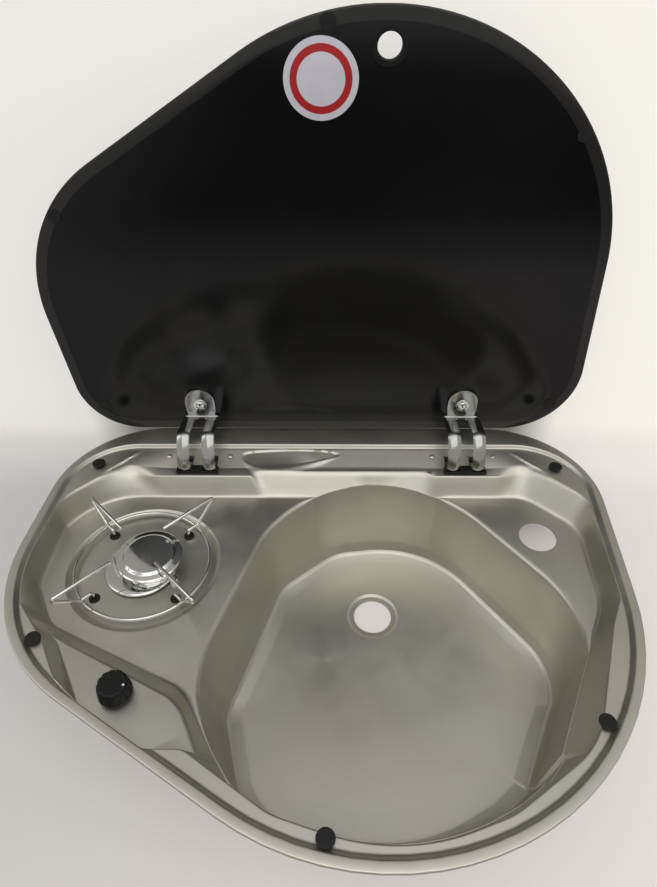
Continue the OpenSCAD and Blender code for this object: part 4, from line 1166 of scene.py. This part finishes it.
def makeGrommets(material):
    z = trayForm["dishFloor"]
    corners = [(1.8, z - 2.5, 0), (4.6, z - 2.5, 0.4), (5.2, z - 0.85, 0.1), (3.95, z - 0.8, 0), (3.95, z, 0),
               (5.6, z + 0.02, 0.2), (5.3, z + 1.4, 0.8), (1.8, z + 1.4, 0.5), (1.8, z - 2.5, 0)]
    grommets = turnedSet("grommets", "grommet", corners, legPlaces(), 48)
    return finish(smooth(grommets, 50), "tray_body", material, "grommets")


# The knob: a skirt with twelve shallow flutes, a flat top and a white mark
knobForm = {"place": (-171, -95), "hole": 7.1, "radius": 14.5, "top": 1.5, "foot": -12.5, "flutes": 12,
            "deep": 0.8, "rays": 192, "mark": (9.9, -1.5)}


def makeKnob(material, white):
    f = knobForm
    r, top, foot = f["radius"], f["top"], f["foot"]
    profile = softProfile([(0, top - 0.15, 0), (r - 5.5, top - 0.1, 1.5), (r - 3.2, top, 0.8),
                           (r - 1.9, top - 0.9, 0.7), (r - 1.0, top - 5, 2), (r - 0.3, foot + 3, 1),
                           (r, foot + 1.2, 0.4), (r, foot, 0.3), (r - 4, foot, 0.3), (r - 5, top - 5, 0.5),
                           (6, top - 5, 0.4), (6, top - 8.6, 0.3), (3.1, top - 9, 0.2), (3.1, top - 4, 0.2),
                           (0, top - 4, 0)], 4)
    n = f["rays"]
    points = []
    for i in range(n):
        t = math.tau * i / n
        wave = max(math.cos(f["flutes"] * t), 0) ** 1.5
        for q, z in profile:
            high = float(ease(z, foot + 1.5, foot + 4)) * float(ease(q, r - 5.5, r - 3.4))
            d = q - f["deep"] * wave * high * (q > r - 4.5)
            points.append((d * math.cos(t), d * math.sin(t), z))
    m = len(profile)
    faces = [(i * m + j, i * m + j + 1, (i + 1) % n * m + j + 1, (i + 1) % n * m + j)
             for i in range(n) for j in range(m - 1)]
    knob = meshPiece("burnerKnob", np.array(points) * mm, faces)
    weld(knob, 0.001)
    x, y = f["place"]
    knob.location = metres(x, y, 0)
    smooth(settle(knob), 40)
    mark = softProfile([(0, top, 0), (1.15, top, 0.1), (1.2, top - 0.6, 0), (0, top - 0.6, 0)])
    mark = turnedPiece("knobMark", mark, (x + f["mark"][0], y + f["mark"][1], -0.02), 32)
    finish(smooth(mark, 40), "knob_body", white)
    return finish(knob, "knob_body", material, "knob")


# Floor and wall behind. Pairs of tints go from left to right, the wall's own in clouds; the floor's pair is
# painted light, lighter towards the right. The glow is painted light, also lighter towards the right, seen by
# the camera alone
stageSizes = {"floor": -0.1287, "wall": 0.30, "cove": 0.05, "half": 3.0, "height": 2.4}
stageLook = {
    # painted light: the floor's pair of tints makes it lighter towards the right
    "floor": ((0.50, 0.495, 0.49), (0.66, 0.625, 0.61)), "wall": ((0.52, 0.51, 0.49), (0.56, 0.55, 0.53)),
    # painted light: a glow seen by the camera alone, lighter towards the right
    "floorPaintedLight": ((0.16, 0.155, 0.15), (0.34, 0.305, 0.295)),
    "wallPaintedLight": ((0.48, 0.46, 0.445), (0.60, 0.585, 0.53)),
    "room": (0.035, 0.033, 0.03), "across": (-0.4, 0.4), "rise": (-0.125, -0.05),
    "roomAhead": (-0.75, -0.42), "roomSide": (-0.75, -0.40),
    "shadeSide": (0.25, 0.31), "shadeAbove": (0.0, 0.12), "shadeAhead": (0.16, 0.22),
}


# Pale at the table and behind it, dark where the room begins in front
def stageMaterial():
    s = stageLook
    material, tree, shader = newMaterial("paleStage")
    parts = placeParts(tree)
    across = rangeNode(tree, parts["X"], 0, 1, *s["across"])
    rise = rangeNode(tree, parts["Z"], 0, 1, *s["rise"])
    tint = rangeNode(tree, noiseNode(tree, 0.9), 0, 1)
    # painted light: the floor's colour grows lighter towards the right
    pale = mixNode(tree, rise, mixNode(tree, across, *s["floor"]), mixNode(tree, tint, *s["wall"]))
    dark = mathNode(tree, "MULTIPLY", rangeNode(tree, parts["Y"], 1, 0, *s["roomAhead"]),
                    rangeNode(tree, parts["X"], 0, 1, *s["roomSide"]))
    tree.links.new(mixNode(tree, dark, pale, s["room"]), shader.inputs["Base Color"])
    # painted light: the floor and wall glow for the camera alone, lighter towards the right
    paintedLight = mixNode(tree, rise, mixNode(tree, across, *s["floorPaintedLight"]), mixNode(tree, across, *s["wallPaintedLight"]))
    tree.links.new(paintedLight, shader.inputs["Emission Color"])
    # no glow low on the wall behind the tray, where its shade falls
    beside = rangeNode(tree, mathNode(tree, "ABSOLUTE", parts["X"]), 0, 1, *s["shadeSide"])
    above = rangeNode(tree, parts["Z"], 0, 1, *s["shadeAbove"])
    ahead = rangeNode(tree, parts["Y"], 1, 0, *s["shadeAhead"])
    most = mathNode(tree, "MAXIMUM", mathNode(tree, "MAXIMUM", beside, above), ahead)
    seen = tree.nodes.new("ShaderNodeLightPath").outputs["Is Camera Ray"]
    tree.links.new(mathNode(tree, "MULTIPLY", seen, most), shader.inputs["Emission Strength"])
    shader.inputs["Roughness"].default_value = 0.8
    shader.inputs["Specular IOR Level"].default_value = 0.1
    # from behind or below the stage is clear
    face = tree.nodes.new("ShaderNodeNewGeometry")
    clearAir = tree.nodes.new("ShaderNodeBsdfTransparent")
    either = tree.nodes.new("ShaderNodeMixShader")
    tree.links.new(mathNode(tree, "MULTIPLY", face.outputs["Backfacing"], seen), either.inputs["Fac"])
    tree.links.new(shader.outputs["BSDF"], either.inputs[1])
    tree.links.new(clearAir.outputs["BSDF"], either.inputs[2])
    tree.links.new(either.outputs["Shader"], tree.nodes["Material Output"].inputs["Surface"])
    return material


def makeStage():
    s = stageSizes
    r = s["cove"]
    profile = [(-s["half"], s["floor"])]
    for t in np.radians(np.linspace(0, 90, 13)):
        profile.append((s["wall"] - r + r * math.sin(t), s["floor"] + r - r * math.cos(t)))
    profile.append((s["wall"], s["height"]))
    points = [(x, y, z) for x in (-s["half"], s["half"]) for y, z in profile]
    n = len(profile)
    faces = [(i, i + n, i + n + 1, i + 1) for i in range(n - 1)]
    stage = meshPiece("paleBackdrop", points, faces)
    for face in stage.data.polygons:
        face.use_smooth = True
    stage.data.materials.append(stageMaterial())


lampSizes = [
    {"name": "ceilingLamp", "place": (0.2, -0.9, 1.9), "size": 2.4, "power": 17},
    {"name": "sideLamp", "place": (-1.6, 0.1, 1.3), "size": 1.2, "power": 5},
]
roomLight = {"colour": (1.0, 0.985, 0.96, 1), "strength": 0.60}


def makeLamps():
    for lamp in lampSizes:
        data = bpy.data.lights.new(lamp["name"], "AREA")
        data.shape = "SQUARE"
        data.size = lamp["size"]
        data.energy = lamp["power"]
        o = bpy.data.objects.new(lamp["name"], data)
        bpy.context.scene.collection.objects.link(o)
        o.location = lamp["place"]
        o.rotation_euler = (-o.location).to_track_quat("-Z", "Y").to_euler()
    world = bpy.data.worlds.new("softRoom")
    bpy.context.scene.world = world
    world.use_nodes = True
    background = world.node_tree.nodes["Background"]
    background.inputs["Color"].default_value = roomLight["colour"]
    background.inputs["Strength"].default_value = roomLight["strength"]


steel, chrome, shadedStrapChrome, wire, zinc, spring, alloy, brass, copper, rubber, plastic, white = map(
    plainFinish, plainFinishes)
glass, film = smokedGlass(), stickerFilm()

# Pieces below the worktop and behind the lid keep the CAD's form with softened edges, of these widths in mm
hiddenPieces = [
    (rubber, {"rim_seal": 0, "lid_gaskets": 0}),
    (zinc, {"fixing_lugs": 0.25, "fixing_screws": 0.3, "hinge_brackets": 0.3, "hinge_pins": 0.4,
            "tap_clamp_nut": 0.3}),
    (plastic, {"lid_nuts": 0.5, "slot_trims": 0.4}),
    (spring, {"hinge_springs": 0, "knob_spring": 0}),
    (alloy, {"burner_cup": 0.5, "gas_tap": 0.8}),
    (brass, {"burner_jet": 0.3, "tap_spindle": 0.3, "tap_plug": 0.3, "pipe_nuts": 0.4}),
    (copper, {"thermocouple_lead": 0, "burner_pipe": 0, "inlet_pipe": 0}),
]
bodyOf = {node: body for body, members in frame["record"]["behaviour"]["bodies"].items() for node in members}
for material, widths in hiddenPieces:
    for node, width in widths.items():
        soft = softCopy(node, width)
        if node == "hinge_brackets":
            lowerBrackets(soft)
        finish(soft, bodyOf[node], material, node)
print("stage: hidden pieces softened")
makeTray(steel)
makeStops(rubber)
print("stage: tray and stops")
makeLidGlass(glass)
makeLidPads(rubber)
makeGripRing(plastic)
makeSticker(film)
print("stage: lid")
# the hinge arms take the darker chrome copy, painted shade
for side, x in zip(("left", "right"), hingeForm["places"]):
    makeHingeArm(side + "Arm", x, side + "_hinge_arm", shadedStrapChrome)
makeLidScrews(chrome)
makeRivets(steel)
print("stage: hinges")
makeBurnerBase(chrome)
makeBurnerScrews(chrome, zinc)
makeBurnerHead(chrome)
makeBurnerCap(chrome)
makeIgniter(zinc)
makePanSupport(wire)
makeGrommets(rubber)
makeKnob(plastic, white)
print("stage: burner and knob")

makeCamera()
makeLamps()
makeStage()
view = bpy.context.scene.view_settings
view.view_transform = "Standard"
print("stage: scene ready")
